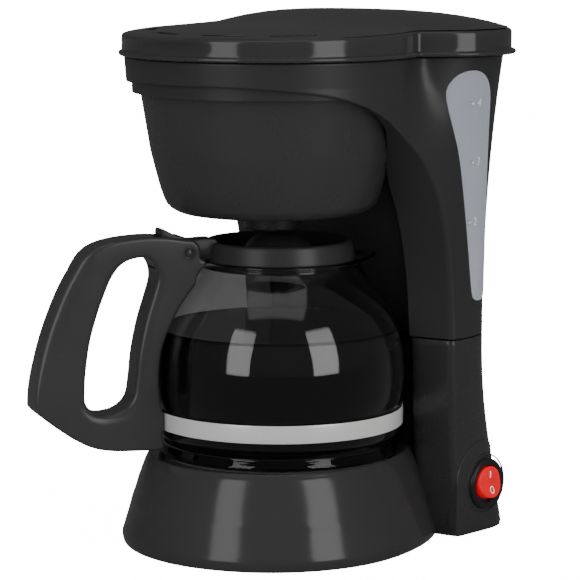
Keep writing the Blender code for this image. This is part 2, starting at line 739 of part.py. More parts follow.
def filter_holder():
    """Removable funnel that rests in the basket housing."""
    profile = ((60.6, 216.2), (60.6, 214.6), (57.4, 214.6), (51.2, 178.2), (46.2, 160.0), (42.0, 152.4),
               (3.4, 152.4), (3.4, 153.9), (41.2, 153.9), (44.7, 160.4), (49.7, 178.6), (56.0, 216.2))
    return turned("filter_holder", profile, "satin_black", 24, closed=True)


def mesh_filter():
    """Permanent filter cone with a rim."""
    profile = ((0, 160.2), (38.9, 160.2), (42.3, 164.0), (52.4, 211.2), (52.4, 212.6), (54.4, 212.6),
               (54.4, 210.6), (53.4, 210.6), (43.2, 163.4), (39.4, 159.2), (0, 159.2))
    return turned("mesh_filter", profile, "mesh_gold", 24)


def drip_stop():
    """Valve that the carafe lid lifts, with its return spring."""
    axis = new_empty("drip_stop_axis", (0, 0, 150), MACHINE)
    profile = ((0, 156.4), (5.2, 156.4), (6.4, 155.4), (6.4, 154.2), (2.6, 154.2), (2.6, 145.0), (6.6, 145.0),
               (6.6, 143.8), (3.2, 143.8), (2.8, 141.3), (0, 141.3))
    ride(turned("drip_stop_valve", profile, "satin_black", 14), axis)
    turns, low, high = 2.5, 145.7, 149.3
    steps = int(turns * 10)
    coil = [(4.4 * math.cos(math.tau * turns * step / steps), 4.4 * math.sin(math.tau * turns * step / steps),
             mix(low, high, step / steps)) for step in range(steps + 1)]
    ride(tube("drip_stop_spring", coil, 0.35, "steel", 1), axis)


# ------------------------------------------------------------------------ lid

def lid_outline(extra):
    section = (LID_HALF_WIDTH + extra, LID_HALF_DEPTH + extra, LID_CENTRE_Y, 2.0)
    radius = LID_LOBE_RADIUS + extra
    return reach_outline(lambda x, y: math.hypot(x, y) < radius or in_superellipse(x, y, section), KEY_CENTRE_Y)


def lid_rim_height(y):
    """The rim rises a little from the front lobe to the rear."""
    amount = clamp((y + 60.0) / 100.0)
    return LID_RIM_Z + 1.6 * amount * amount * (3 - 2 * amount)


def crowned(outline, scale, drop=0.0):
    """Lid surface ring: the outline shrunk towards its middle and raised."""
    crown = LID_CROWN * (1.0 - scale ** 2.2)
    ring = []
    for x, y in outline:
        depth = mix(LID_MIDDLE_Y, y, scale)
        rim = mix(lid_rim_height(LID_MIDDLE_Y), lid_rim_height(y), scale * scale)
        rise = clamp((depth + 45.0) / 91.0)
        ring.append((x * scale, depth, rim + crown * (0.36 + 0.64 * rise * rise * (3 - 2 * rise)) - drop))
    return ring


def top_lid(axis):
    """Crowned cover with a skirt, a thin flange, steam slots and hinge lugs."""
    flange, body = lid_outline(LID_FLANGE), lid_outline(0.0)
    inside, roof = lid_outline(-LID_WALL), lid_outline(-LID_WALL - 0.6)
    rings = [level(inside, LID_Z), level(flange, LID_Z), level(flange, LID_Z + 1.8), level(body, LID_Z + 2.2)]
    rings += [crowned(body, 1.0, 1.2), crowned(lid_outline(-1.2), 1.0), crowned(body, 0.82), crowned(body, 0.5),
              crowned(body, 0.15)]
    rings = [crowned(roof, 0.2, LID_WALL), crowned(roof, 0.65, LID_WALL), crowned(roof, 0.97, LID_WALL)] + rings
    lid = loft("top_lid", rings, "gloss_black")
    for index, middle in enumerate((-55.0, -17.0, 20.0, 53.0)):
        boolean(lid, steam_slot(f"steam_slot_{index}", middle))
    for index, side in enumerate((-1, 1)):
        boolean(lid, lid_lug(f"lid_lug_{index}", side), "UNION")
    boolean(lid, hinge_bore("lug_bore", 1.6, 60))
    return ride(lid, axis)


def steam_slot(name, middle):
    """Short curved slot on an arc near the lid's front edge."""
    angles = [math.radians(middle - 11 + 22 * step / 4) for step in range(5)]
    outer = [(54.0 * math.sin(angle), -54.0 * math.cos(angle)) for angle in angles]
    inner = [(52.0 * math.sin(angle), -52.0 * math.cos(angle)) for angle in reversed(angles)]
    return prism(name, outer + inner, 215, 245)


def lid_lug(name, side):
    """Lug that drops from the lid's rear flange to the hinge pin."""
    outline = [(HINGE_Y - 1.6, LID_Z + 1.0), (HINGE_Y - 2.6, HINGE_Z + 1.6)]
    outline += [(HINGE_Y + 3.0 * math.cos(angle), HINGE_Z + 3.0 * math.sin(angle))
                for angle in (math.radians(180 + 30 * step) for step in range(7))]
    outline += [(HINGE_Y + 2.4, LID_Z + 1.0)]
    return loft(name, [[(side * x, y, z) for y, z in outline] for x in (20.4, 25.0)])


def hinge_pins(axis):
    for name, x in (("lid_hinge_pin_left", -19.2), ("lid_hinge_pin_right", 19.2)):
        pin = turned(name, ((0, 6.4), (1.0, 6.4), (1.25, 6.1), (1.25, -6.1), (1.0, -6.4), (0, -6.4)), "steel", 10)
        ride(place(pin, (x, HINGE_Y, HINGE_Z), (0, 90, 0)), axis)


# --------------------------------------------------------------------- switch

def switch_set():
    """Round rocker switch: bezel with its body, the rocker and two terminals."""
    opening = SWITCH_OPENING
    profile = ((0, -9.6), (opening, -9.6), (opening, 1.6), (9.2, 2.0), (11.0, 2.0), (11.5, 1.3), (11.5, 0.15),
               (9.4, 0.15), (9.4, -14.0), (0, -14.0))
    body = turned("switch_body", profile, "satin_black", 28)
    place(body, (SWITCH_FACE_X, SWITCH_Y, SWITCH_Z), (0, 90, 0))
    pivot = (SWITCH_FACE_X - 3.0, SWITCH_Y, SWITCH_Z)
    rocker = loft("switch_rocker", [[(7.3 * x, 7.8 * y, z) for x, y in circle(1.0, count=28)] for z in (-4.0, 12.0)],
                  "switch_red")
    face = [(-12.0, 7.1), (0.0, 5.2), (12.0, 7.1), (12.0, 20.0), (-12.0, 20.0)]
    boolean(rocker, loft("rocker_face", [[(x, y, z) for x, z in face] for y in (-12, 12)]))
    place(rocker, pivot, (0, 90.0 - ROCKER_TILT, 0))
    ride(rocker, new_empty("switch_pivot", pivot, MACHINE))
    for index, z in enumerate((SWITCH_Z + 4.0, SWITCH_Z - 4.0)):
        back = SWITCH_FACE_X - 14.0 - GAP
        block(f"switch_terminal_{index + 1}", (back - 6.0, SWITCH_Y - 2.4, z - 0.4), (back, SWITCH_Y + 2.4, z + 0.4),
              "brass")


def wiring():
    """Gland in the rear wall and the leads between gland, switch and heater."""
    profile = ((5.6, 2.4), (7.0, 1.6), (7.0, GAP), (4.3, GAP), (4.3, -3.2), (5.2, -3.2), (5.2, -5.0), (3.0, -5.0),
               (3.0, 2.4))
    place(turned("cord_gland", profile, "rubber", 20, closed=True), GLAND, (-90, 0, 0))
    gland_x, gland_y, gland_z = GLAND
    terminal_x = SWITCH_FACE_X - 21.6
    routes = {
        "lead_supply": [(gland_x + 1.4, gland_y - 6, gland_z), (14, 84, 14), (32, 77, 24),
                        (terminal_x, SWITCH_Y, SWITCH_Z + 4.0)],
        "lead_switched": [(terminal_x, SWITCH_Y, SWITCH_Z - 4.0), (34, 68, 16), (18, 46, 14), (14, 20, 20),
                          (14, CARAFE_Y + 12.6, 35.6)],
        "lead_return": [(gland_x - 1.4, gland_y - 6, gland_z), (-12, 78, 12), (-24, 52, 14), (-14, 22, 20),
                        (-14, CARAFE_Y + 12.6, 35.6)],
    }
    for name, route in routes.items():
        tube(name, smooth_path(route, 4), 1.1, "wire_sleeve", 1)


# --------------------------------------------------------------------- carafe

def side_point(reach, across=0.0):
    """Plan position at a distance along the handle's direction."""
    ux, uy = HANDLE_SIDE
    return (ux * reach - uy * across, CARAFE_Y + uy * reach + ux * across)


def spout_amount(angle):
    toward = math.atan2(-HANDLE_SIDE[1], -HANDLE_SIDE[0])
    away = (angle - toward + math.pi) % math.tau - math.pi
    return math.exp(-(math.degrees(away) / SPOUT_SPREAD) ** 2)


def glass_ring(radius, z, spout, rise=0.0, count=GLASS_SIDES):
    ring = []
    for step in range(count):
        angle = math.tau * step / count
        amount = spout_amount(angle)
        reach = radius + spout * amount
        ring.append((reach * math.cos(angle), CARAFE_Y + reach * math.sin(angle), z + rise * amount ** 2))
    return ring


def carafe_glass():
    """Thin blown pot with a foot ring, a shoulder and a pouring lip."""
    outer = [glass_ring(r, z, 2.5 * clamp((z - 119.0) / 7.0)) for r, z in GLASS_PROFILE]
    lip = [glass_ring(MOUTH_RADIUS, MOUTH_Z, SPOUT_REACH, SPOUT_RISE),
           glass_ring(MOUTH_RADIUS - GLASS_WALL, MOUTH_Z, SPOUT_REACH, SPOUT_RISE)]
    inner = [glass_ring(r - GLASS_WALL, z, 2.5 * clamp((z - 119.0) / 7.0))
             for r, z in reversed(GLASS_PROFILE[3:])]
    inner += [glass_ring(50.2, 46.2, 0), glass_ring(46.0, 43.6, 0)]
    return loft("carafe_glass", outer + lip + inner, "clear_glass")


def carafe_band():
    low, high = BAND_Z
    profile = ((BAND_RADIUS, high), (BAND_RADIUS, low), (BAND_RADIUS - 0.6, low), (BAND_RADIUS - 0.6, high))
    return place(turned("carafe_band", profile, "steel", GLASS_SIDES, closed=True), (0, CARAFE_Y, 0))


def handle_frame(item):
    """Stand a shape drawn in reach-height upright along the handle's side."""
    x, y = side_point(0.0)
    turn = math.degrees(math.atan2(HANDLE_SIDE[1], HANDLE_SIDE[0]))
    return place(item, (x, y, 0), (90, 0, turn))


def carafe_handle():
    """Loop handle with a grip opening and a fork for the lid hinge."""
    outer = smooth_path([(46.4, 139.7), (65.0, 141.4), (79.0, 140.2), (88.0, 137.4), (94.0, 132.5), (101.8, 119.1),
                         (110.2, 98.3), (114.8, 78.0), (113.8, 66.5), (107.0, 60.0), (99.0, 54.0), (90.0, 49.2),
                         (80.0, 46.9)], 2)
    glass_side = [(57.1, 46.6), (57.1, 63.0), (58.2, 68.0), (58.3, 82.0), (56.6, 92.6), (53.6, 101.0),
                  (48.4, 110.6), (41.8, 119.2), (40.4, 124.6), (39.2, 128.4), (39.2, 137.0)]
    half = HANDLE_THICKNESS / 2
    handle = handle_frame(prism("carafe_handle", outer + glass_side, -half, half, "gloss_black"))
    bevel(handle, 1.6, 2, 60)
    opening = smooth_path([(68.0, 132.6), (78.9, 126.4), (87.3, 107.3), (92.1, 89.2), (92.7, 70.0), (84.5, 63.6),
                           (73.0, 67.0), (69.6, 77.2), (68.1, 90.6), (61.9, 114.4), (59.3, 126.0)], 3, closed=True)
    boolean(handle, handle_frame(prism("grip_opening", opening, -30, 30)))
    boolean(handle, handle_frame(block("hinge_slot", (30, 127.0, -5.4), (60.0, 150, 5.4))))
    pin = handle_frame(prism("carafe_pin_bore", circle(1.8, (CARAFE_PIN_REACH, CARAFE_PIN_Z), 16), -7.6, 7.6))
    boolean(handle, pin)
    return handle


def carafe_lid(axis):
    """Dished lid with a drip-through dome, hinge arm and thumb tab."""
    profile = ((0, 141.0), (8.0, 139.8), (13.6, 136.0), (15.9, 131.8), (26.6, 132.2), (31.0, 137.4),
               (32.6, 137.0), (34.3, 128.3), (32.6, 128.1), (32.0, 124.6), (30.6, 124.6), (30.6, 129.6),
               (26.8, 130.5), (14.4, 130.0), (12.2, 135.0), (7.2, 138.2), (0, 139.4))
    lid = place(turned("carafe_lid", profile, "satin_black", 26), (0, CARAFE_Y, 0))
    arm_outline = [(31.0, 130.4), (CARAFE_PIN_REACH, 131.2), (47.6, 133.0), (47.8, 136.2), (57.0, 142.6),
                   (56.0, 144.6), (50.0, 142.4), (46.0, 138.6), (40.0, 137.4), (31.0, 137.0)]
    arm = handle_frame(prism("lid_arm", arm_outline, -5.0, 5.0))
    boolean(lid, arm, "UNION")
    bore = handle_frame(prism("lid_arm_bore", circle(1.5, (CARAFE_PIN_REACH, CARAFE_PIN_Z), 16), -20, 20))
    boolean(lid, bore)
    for index in range(4):
        angle = math.radians(45 + 90 * index)
        hole = cylinder(f"drip_hole_{index}", 1.6, 125, 145, segments=10)
        boolean(lid, place(hole, (19.0 * math.cos(angle), CARAFE_Y + 19.0 * math.sin(angle), 0)))
    return ride(lid, axis)


def carafe_pin():
    """Hinge pin of the carafe lid."""
    x, y = side_point(CARAFE_PIN_REACH)
    turn = math.degrees(math.atan2(HANDLE_SIDE[1], HANDLE_SIDE[0]))
    pin = turned("carafe_hinge_pin", ((0, 7.3), (1.0, 7.3), (1.2, 7.0), (1.2, -7.0), (1.0, -7.3), (0, -7.3)),
                 "steel", 10)
    return place(pin, (x, y, CARAFE_PIN_Z), (90, 0, turn))


def build():
    upper_housing()
    gauge_window()
    lower_housing()
    bottom_cover()
    feet()
    fasteners()
    hot_plate()
    plate_seal()
    heater()
    safety_parts()
    water_tank()
    check_valve()
    plumbing()
    hose_clamps()
    switch_set()
    wiring()
    basket_housing()
    filter_holder()
    mesh_filter()
    drip_stop()
    lid_axis = new_empty("lid_hinge_axis", (0, HINGE_Y, HINGE_Z), MACHINE)
    top_lid(lid_axis)
    hinge_pins(lid_axis)
    carafe_axis = new_empty("carafe_axis", (0, CARAFE_Y, 0), MACHINE)
    for piece in (carafe_glass(), carafe_band(), carafe_handle(), carafe_pin()):
        ride(piece, carafe_axis)
    pin_x, pin_y = side_point(CARAFE_PIN_REACH)
    carafe_lid(new_empty("carafe_lid_axis", (pin_x, pin_y, CARAFE_PIN_Z), MACHINE))


clear_scene()
PARTS = new_collection("drip_coffee_maker")
CUTTERS = new_collection("cutters")
MACHINE = new_empty("machine_axis", (0.0, MACHINE_SHIFT_Y, 0.0))
build()
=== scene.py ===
"""Compact drip coffee maker: fine surfaces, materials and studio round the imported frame.

Shapes are drawn in millimetres in the machine's own frame, whose Z axis runs
through the middle of the brew basket, and to_world() moves them into place.
"""
import math

import bmesh
import bpy
import numpy as np
from mathutils import Matrix, Vector


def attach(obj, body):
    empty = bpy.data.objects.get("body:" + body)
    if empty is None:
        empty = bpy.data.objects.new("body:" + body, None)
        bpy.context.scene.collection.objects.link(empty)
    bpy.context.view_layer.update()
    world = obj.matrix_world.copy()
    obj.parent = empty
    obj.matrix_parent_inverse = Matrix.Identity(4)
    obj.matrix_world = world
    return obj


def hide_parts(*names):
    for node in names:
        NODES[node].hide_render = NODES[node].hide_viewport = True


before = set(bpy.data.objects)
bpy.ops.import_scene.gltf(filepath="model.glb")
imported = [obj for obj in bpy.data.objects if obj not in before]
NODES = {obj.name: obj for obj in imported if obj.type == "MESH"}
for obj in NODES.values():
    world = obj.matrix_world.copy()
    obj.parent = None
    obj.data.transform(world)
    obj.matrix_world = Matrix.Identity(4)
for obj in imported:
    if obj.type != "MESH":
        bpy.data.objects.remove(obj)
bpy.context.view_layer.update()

MM = 0.001
MACHINE_SHIFT_Y = -4.7       # from the basket axis to the middle of the depth
SEAM_Z = 92.6
HOUSING_TOP_Z = 220.0

# Tower and collar
KEY_CENTRE_Y = 28.0
REAR_CENTRE_Y = 52.0
REAR_HALF_WIDTH = 64.3
REAR_HALF_DEPTH = 42.0
FLARE_Z = 110.0
COLLAR_RADIUS = 64.6
COLLAR_TOP_RADIUS = 65.4
COLLAR_Z = 209.5
WAIST_BLEND = 7.0
SWEEP_HANDLES = ((50.0, 93.0), (47.0, 170.0), (20.0, 206.0), (-61.5, COLLAR_Z))
FOOT_FRONT = ((57.0, -6.0), (56.6, 1.5), (52.5, 42.0), (50.0, 92.6))
NOSE_X = 42.5
CORNER_X = 64.0
NOSE_SLOPE = 0.2
POCKET_BACK_Y = 60.9

# Base, basket and lid
BASE_PROFILE = ((67.7, 5.4), (64.4, 16.4), (63.5, 20.0), (62.1, 24.0), (59.9, 31.0), (57.3, 38.0),
                (56.0, 40.4))
BASE_REAR_STRETCH = 1.33
CARAFE_Y = 4.5
LID_LOBE_RADIUS = 66.5
LID_HALF_WIDTH = 79.4
LID_HALF_DEPTH = 48.5
LID_CENTRE_Y = 60.0
LID_Z = 220.4
LID_RIM_Z = 229.9
LID_CROWN = 7.0
LID_FLANGE = 1.4
HINGE_Y = 107.6
HINGE_Z = 216.4

# Switch
SWITCH_FACE_X = 64.1
SWITCH_Y = 74.7
SWITCH_Z = 23.7
ROCKER_TILT = 9.0
PAD_CENTRE_Y = 73.4
PAD_RADIUS = 19.0
PAD_TOP_Z = 44.2

# Carafe, with radii about its own axis
HANDLE_SIDE = (-0.454, -0.891)
GLASS_WALL = 1.8
GLASS_PROFILE = ((50.0, 41.2), (53.4, 41.7), (54.2, 43.0), (53.2, 45.2), (52.6, 46.8), (53.6, 49.2),
                 (55.4, 52.0), (55.6, 58.0), (55.7, 63.4), (57.0, 68.6), (57.6, 75.0), (57.4, 83.0),
                 (56.4, 91.0), (54.4, 98.0), (51.4, 105.0), (47.4, 111.2), (42.2, 117.6), (37.6, 122.8),
                 (35.4, 126.0))
MOUTH_RADIUS = 35.4
MOUTH_Z = 127.8
SPOUT_REACH = 10.4
SPOUT_RISE = 1.2
SPOUT_SPREAD = 22.0
BAND_RADIUS = 56.5
BAND_Z = (54.5, 62.5)
COFFEE_Z = 97.7
CARAFE_PIN_REACH = 44.8
CARAFE_PIN_Z = 133.8
HANDLE_THICKNESS = 17.0

# Cup marks on the gauge window: text, y, z
GAUGE_MARKS = (("2", 64.1, 145.2), ("3", 62.8, 172.5), ("4", 58.1, 199.2))
MARK_SIZE = 5.4
MARK_DEPTH = 0.12

# Outlines of the carafe handle: reach from the carafe axis, height
HANDLE_OUTER = ((46.4, 139.9), (56.0, 141.2), (66.0, 141.5), (79.0, 140.2), (88.0, 137.4), (93.6, 132.8),
                (97.4, 126.9), (101.9, 119.0), (106.5, 108.6), (110.3, 98.2), (113.1, 87.7), (114.8, 78.0),
                (115.4, 70.0), (114.6, 66.4), (107.4, 60.2), (99.4, 54.2), (90.2, 49.3), (80.4, 47.0),
                (68.0, 46.4), (57.3, 46.6))
HANDLE_GLASS_SIDE = ((57.3, 52.0), (57.3, 63.0), (58.2, 67.0), (58.9, 74.0), (58.9, 82.0), (57.7, 90.6),
                     (54.9, 98.6), (50.3, 107.8), (45.0, 115.6), (41.8, 119.8), (41.0, 122.8), (39.6, 125.4),
                     (36.6, 128.2), (37.4, 130.2), (39.2, 131.4), (39.8, 136.4), (42.6, 139.4))
GRIP_HOLE = ((67.2, 132.7), (74.2, 130.9), (79.0, 126.2), (83.6, 116.9), (87.3, 107.3), (90.4, 96.3),
             (92.2, 85.0), (93.0, 74.6), (92.4, 69.0), (88.8, 64.9), (84.0, 63.5), (76.6, 64.9),
             (71.4, 69.6), (69.7, 77.2), (68.1, 90.6), (65.2, 103.9), (61.9, 114.4), (59.6, 122.6),
             (60.2, 128.4), (63.0, 131.8))

# Which look each carried-over inner part gets
CAD_LOOKS = {
    "steel": ("carafe_hinge_pin", "check_valve_ball", "cover_screw", "drip_stop_spring", "heater_clamp",
              "hose_clamp", "housing_screw", "lid_hinge_pin"),
    "satin_black": ("bottom_cover", "drip_stop_valve", "filter_holder", "spray_head"),
    "tank_plastic": ("check_valve_body", "riser_tube", "water_tank"),
    "silicone": ("cold_hose", "hot_hose", "hot_plate_seal"),
    "rubber": ("cord_gland", "foot"),
    "aluminium": ("heater_element",),
    "wire_sleeve": ("lead", "thermal_fuse"),
    "mesh_gold": ("mesh_filter",),
    "brass": ("switch_terminal", "thermostat"),
}

# Studio
CAMERA_AZIMUTH = 43.0
CAMERA_ELEVATION = 8.14
CAMERA_DISTANCE = 1.2543
CAMERA_TARGET = (0.0, MACHINE_SHIFT_Y * MM, 0.115)
BACKGROUND_GLOW = 15.0
GLOSSY_FRONT = 0.15
GLOSSY_BACK = 0.05
GLOSSY_FLOOR = 0.10
SKY_FRONT = 1.25
SKY_BACK = 0.6

MATERIALS = {}


# ---------------------------------------------------------------- plain maths

def mix(low, high, amount):
    return low + (high - low) * amount


def clamp(value, low=0.0, high=1.0):
    return min(high, max(low, value))


def ease(value, low, high):
    amount = clamp((value - low) / (high - low))
    return amount * amount * (3.0 - 2.0 * amount)


def smooth_path(points, per_span, closed=False):
    """Catmull-Rom curve through points of any dimension."""
    count = len(points)
    path = []
    for span in range(count if closed else count - 1):
        picks = [span - 1, span, span + 1, span + 2]
        picks = [pick % count if closed else min(max(pick, 0), count - 1) for pick in picks]
        before, start, end, after = (points[pick] for pick in picks)
        for step in range(per_span):
            t = step / per_span
            path.append(tuple(
                0.5 * (2 * b + (c - a) * t + (2 * a - 5 * b + 4 * c - d) * t * t
                       + (3 * b - a - 3 * c + d) * t ** 3)
                for a, b, c, d in zip(before, start, end, after)))
    if not closed:
        path.append(tuple(points[-1]))
    return path


def bezier(handles, amount):
    weights = ((1 - amount) ** 3, 3 * amount * (1 - amount) ** 2,
               3 * amount ** 2 * (1 - amount), amount ** 3)
    return tuple(sum(weight * point[axis] for weight, point in zip(weights, handles))
                 for axis in range(2))


def circle(radius, centre=(0.0, 0.0), count=64):
    return [(centre[0] + radius * math.cos(math.tau * step / count),
             centre[1] + radius * math.sin(math.tau * step / count)) for step in range(count)]


def offset_outline(path, distance):
    """Shift a closed outline along its own normals, outwards when positive."""
    count = len(path)
    area = sum(path[i][0] * path[(i + 1) % count][1] - path[(i + 1) % count][0] * path[i][1]
               for i in range(count))
    turn = 1.0 if area > 0 else -1.0
    shifted = []
    for index, (x, y) in enumerate(path):
        before, after = path[index - 1], path[(index + 1) % count]
        dx, dy = after[0] - before[0], after[1] - before[1]
        length = math.hypot(dx, dy) or 1.0
        amount = distance[index] if isinstance(distance, (list, tuple)) else distance
        shifted.append((x + turn * dy / length * amount, y - turn * dx / length * amount))
    return shifted


def level(outline, z):
    return [(x, y, z) for x, y in outline]


# ------------------------------------------------------------- housing fields

def tower_section(z):
    rise = np.clip((z - FLARE_Z) / (HOUSING_TOP_Z - FLARE_Z), 0, 1)
    drop = np.clip((SEAM_Z - z) / SEAM_Z, 0, 1)
    half_width = REAR_HALF_WIDTH + 11.3 * rise ** 2.2 - 0.8 * drop
    half_depth = REAR_HALF_DEPTH + 3.0 * rise + 3.0 * drop ** 1.5
    return half_width, half_depth, REAR_CENTRE_Y + 8.0 * rise, 3.0 - rise + 5.0 * drop ** 2.6


def ellipse_field(x, y, section):
    """Below zero inside a superellipse, growing about a millimetre per millimetre."""
    half_width, half_depth, centre_y, exponent = section
    reach = (np.abs(x / half_width) ** exponent + np.abs((y - centre_y) / half_depth) ** exponent)
    return (reach ** (1.0 / exponent) - 1.0) * np.minimum(half_width, half_depth)


def smooth_min(a, b, width):
    share = np.clip(0.5 + 0.5 * (b - a) / width, 0, 1)
    return b * (1 - share) + a * share - width * share * (1 - share)


def housing_field(x, y, z):
    lobe = COLLAR_RADIUS + (COLLAR_TOP_RADIUS - COLLAR_RADIUS) * np.clip((z - 209.0) / 10.0, 0, 1)
    soften = np.clip((216.0 - z) / 36.0, 0, 1)
    return smooth_min(ellipse_field(x, y, tower_section(z)), np.hypot(x, y) - lobe,
                      WAIST_BLEND + 15.0 * soften)


def tower_field(x, y, z):
    return ellipse_field(x, y, tower_section(z))


def lid_field(x, y, z):
    section = (LID_HALF_WIDTH, LID_HALF_DEPTH, LID_CENTRE_Y, 2.0)
    return smooth_min(ellipse_field(x, y, section), np.hypot(x, y) - LID_LOBE_RADIUS, 2.4)


def trace(field, centre_y, angles, heights, inset=0.0):
    """Points where rays from the axis through (0, centre_y) leave a field."""
    angles, heights = np.broadcast_arrays(np.asarray(angles, float), np.asarray(heights, float))
    near, far = np.zeros(angles.shape), np.full(angles.shape, 160.0)
    away_x, away_y = np.cos(angles), np.sin(angles)
    for _ in range(32):
        middle = (near + far) / 2
        inside = field(away_x * middle, centre_y + away_y * middle, heights) < -inset
        near, far = np.where(inside, middle, near), np.where(inside, far, middle)
    return np.stack([away_x * near, centre_y + away_y * near, heights], axis=-1)


def side_reach(field, y, z):
    """Half width of a field at a given depth and height."""
    near, far = 0.0, 120.0
    for _ in range(32):
        middle = (near + far) / 2
        if field(middle, y, z) < 0:
            near = middle
        else:
            far = middle
    return near


def field_normal(field, point):
    x, y, z = point
    step = 0.05
    slope = [field(x + step, y, z) - field(x - step, y, z), field(x, y + step, z) - field(x, y - step, z),
             field(x, y, z + step) - field(x, y, z - step)]
    return Vector([float(value) for value in slope]).normalized()


# -------------------------------------------------------------- mesh builders

def to_world(point):
    return (point[0] * MM, (point[1] + MACHINE_SHIFT_Y) * MM, point[2] * MM)


def from_bmesh(name, shape, look, smooth_angle=38.0, weld=0.002):
    bmesh.ops.remove_doubles(shape, verts=shape.verts, dist=weld * MM)
    bmesh.ops.recalc_face_normals(shape, faces=shape.faces)
    mesh = bpy.data.meshes.new(name)
    shape.to_mesh(mesh)
    shape.free()
    mesh.shade_smooth()
    mesh.set_sharp_from_angle(angle=math.radians(smooth_angle))
    item = bpy.data.objects.new(name, mesh)
    bpy.context.scene.collection.objects.link(item)
    if look:
        mesh.materials.append(MATERIALS[look])
    return item


def add_grid(shape, rows, wrap=True, caps=(False, False)):
    """Quads between rows of equal length; caps close the first and last row."""
    made = [[shape.verts.new(to_world(point)) for point in row] for row in rows]
    count = len(made[0])
    for lower, upper in zip(made, made[1:]):
        for index in range(count if wrap else count - 1):
            follow = (index + 1) % count
            corners = (lower[index], lower[follow], upper[follow], upper[index])
            shape.faces.new(corners)
    if caps[0]:
        shape.faces.new(made[0][::-1])
    if caps[1]:
        shape.faces.new(made[-1])


def loft(name, rows, look=None, wrap=True, caps=(True, True), smooth_angle=38.0):
    shape = bmesh.new()
    add_grid(shape, rows, wrap, caps)
    return from_bmesh(name, shape, look, smooth_angle)


def turned(name, profile, look, centre=(0.0, 0.0), steps=128, closed=False, smooth_angle=38.0):
    """Revolve a radius-height profile about a vertical axis."""
    rows = [[(centre[0] + radius * math.cos(math.tau * step / steps),
              centre[1] + radius * math.sin(math.tau * step / steps), z) for step in range(steps)]
            for radius, z in profile]
    if closed:
        rows.append(rows[0])
    return loft(name, rows, look, caps=(False, False), smooth_angle=smooth_angle)


def rounded(profile, radius, steps=4):
    """Round the inner corners of an open radius-height profile."""
    result = [profile[0]]
    for before, corner, after in zip(profile, profile[1:], profile[2:]):
        a = Vector(before) - Vector(corner)
        b = Vector(after) - Vector(corner)
        reach = min(radius, a.length * 0.45, b.length * 0.45)
        start, end = Vector(corner) + a.normalized() * reach, Vector(corner) + b.normalized() * reach
        for step in range(steps + 1):
            t = step / steps
            point = start * (1 - t) ** 2 + Vector(corner) * 2 * t * (1 - t) + end * t ** 2
            result.append((point.x, point.y))
    result.append(profile[-1])
    return result


def cut(target, cutter, operation="DIFFERENCE", angle=38.0):
    """Apply an exact boolean and drop the cutter."""
    step = target.modifiers.new("cut", "BOOLEAN")
    step.operation = operation
    step.solver = "EXACT"
    step.object = cutter
    evaluated = target.evaluated_get(bpy.context.evaluated_depsgraph_get())
    mesh = bpy.data.meshes.new_from_object(evaluated)
    target.modifiers.clear()
    old = target.data
    target.data = mesh
    bpy.data.meshes.remove(old)
    bpy.data.objects.remove(cutter, do_unlink=True)
    mesh.shade_smooth()
    mesh.set_sharp_from_angle(angle=math.radians(angle))
    return target


def piece(item, body, slot, *replaced):
    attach(item, body)
    if replaced:
        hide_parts(*replaced)
    return item


# ------------------------------------------------------------------ materials

class Graph:
    """Small helper for building a node material."""

    def __init__(self, name):
        self.material = bpy.data.materials.new(name)
        self.material.use_nodes = True
        self.tree = self.material.node_tree
        self.shader = self.tree.nodes["Principled BSDF"]
        MATERIALS[name] = self.material

    def node(self, kind, **settings):
        made = self.tree.nodes.new(kind)
        for key, value in settings.items():
            setattr(made, key, value)
        return made

    def link(self, source, target):
        self.tree.links.new(source, target)

    def set(self, **values):
        for key, value in values.items():
            name = key.replace("_", " ")
            if name in ("Base Color", "Specular Tint", "Sheen Tint") and len(value) == 3:
                value = (*value, 1.0)
            self.shader.inputs[name].default_value = value
        return self

    def noise(self, scale, detail=3.0, stretch=(1.0, 1.0, 1.0), roughness=0.5):
        """Noise in object space; scale is in cells per metre."""
        place = self.node("ShaderNodeTexCoord")
        mapping = self.node("ShaderNodeMapping")
        mapping.inputs["Scale"].default_value = stretch
        self.link(place.outputs["Object"], mapping.inputs["Vector"])
        noise = self.node("ShaderNodeTexNoise")
        noise.inputs["Scale"].default_value = scale
        noise.inputs["Detail"].default_value = detail
        noise.inputs["Roughness"].default_value = roughness
        self.link(mapping.outputs["Vector"], noise.inputs["Vector"])
        return noise.outputs["Fac"]

    def remap(self, source, low, high, start=0.3, end=0.7):
        node = self.node("ShaderNodeMapRange")
        node.inputs["From Min"].default_value = start
        node.inputs["From Max"].default_value = end
        node.inputs["To Min"].default_value = low
        node.inputs["To Max"].default_value = high
        self.link(source, node.inputs["Value"])
        return node.outputs["Result"]

    def tint(self, source, low, high, start=0.3, end=0.7):
        ramp = self.node("ShaderNodeValToRGB")
        ramp.color_ramp.elements[0].position = start
        ramp.color_ramp.elements[1].position = end
        ramp.color_ramp.elements[0].color = (*low, 1.0)
        ramp.color_ramp.elements[1].color = (*high, 1.0)
        self.link(source, ramp.inputs["Fac"])
        self.link(ramp.outputs["Color"], self.shader.inputs["Base Color"])

    def bumps(self, layers, edge=0.0):
        """Stack bumps (height source, depth in metres) on an optional edge rounding."""
        normal = None
        if edge:
            bevel = self.node("ShaderNodeBevel", samples=4)
            bevel.inputs["Radius"].default_value = edge
            normal = bevel.outputs["Normal"]
        for source, depth in layers:
            bump = self.node("ShaderNodeBump")
            bump.inputs["Strength"].default_value = 1.0
            bump.inputs["Distance"].default_value = depth
            self.link(source, bump.inputs["Height"])
            if normal:
                self.link(normal, bump.inputs["Normal"])
            normal = bump.outputs["Normal"]
        self.link(normal, self.shader.inputs["Normal"])


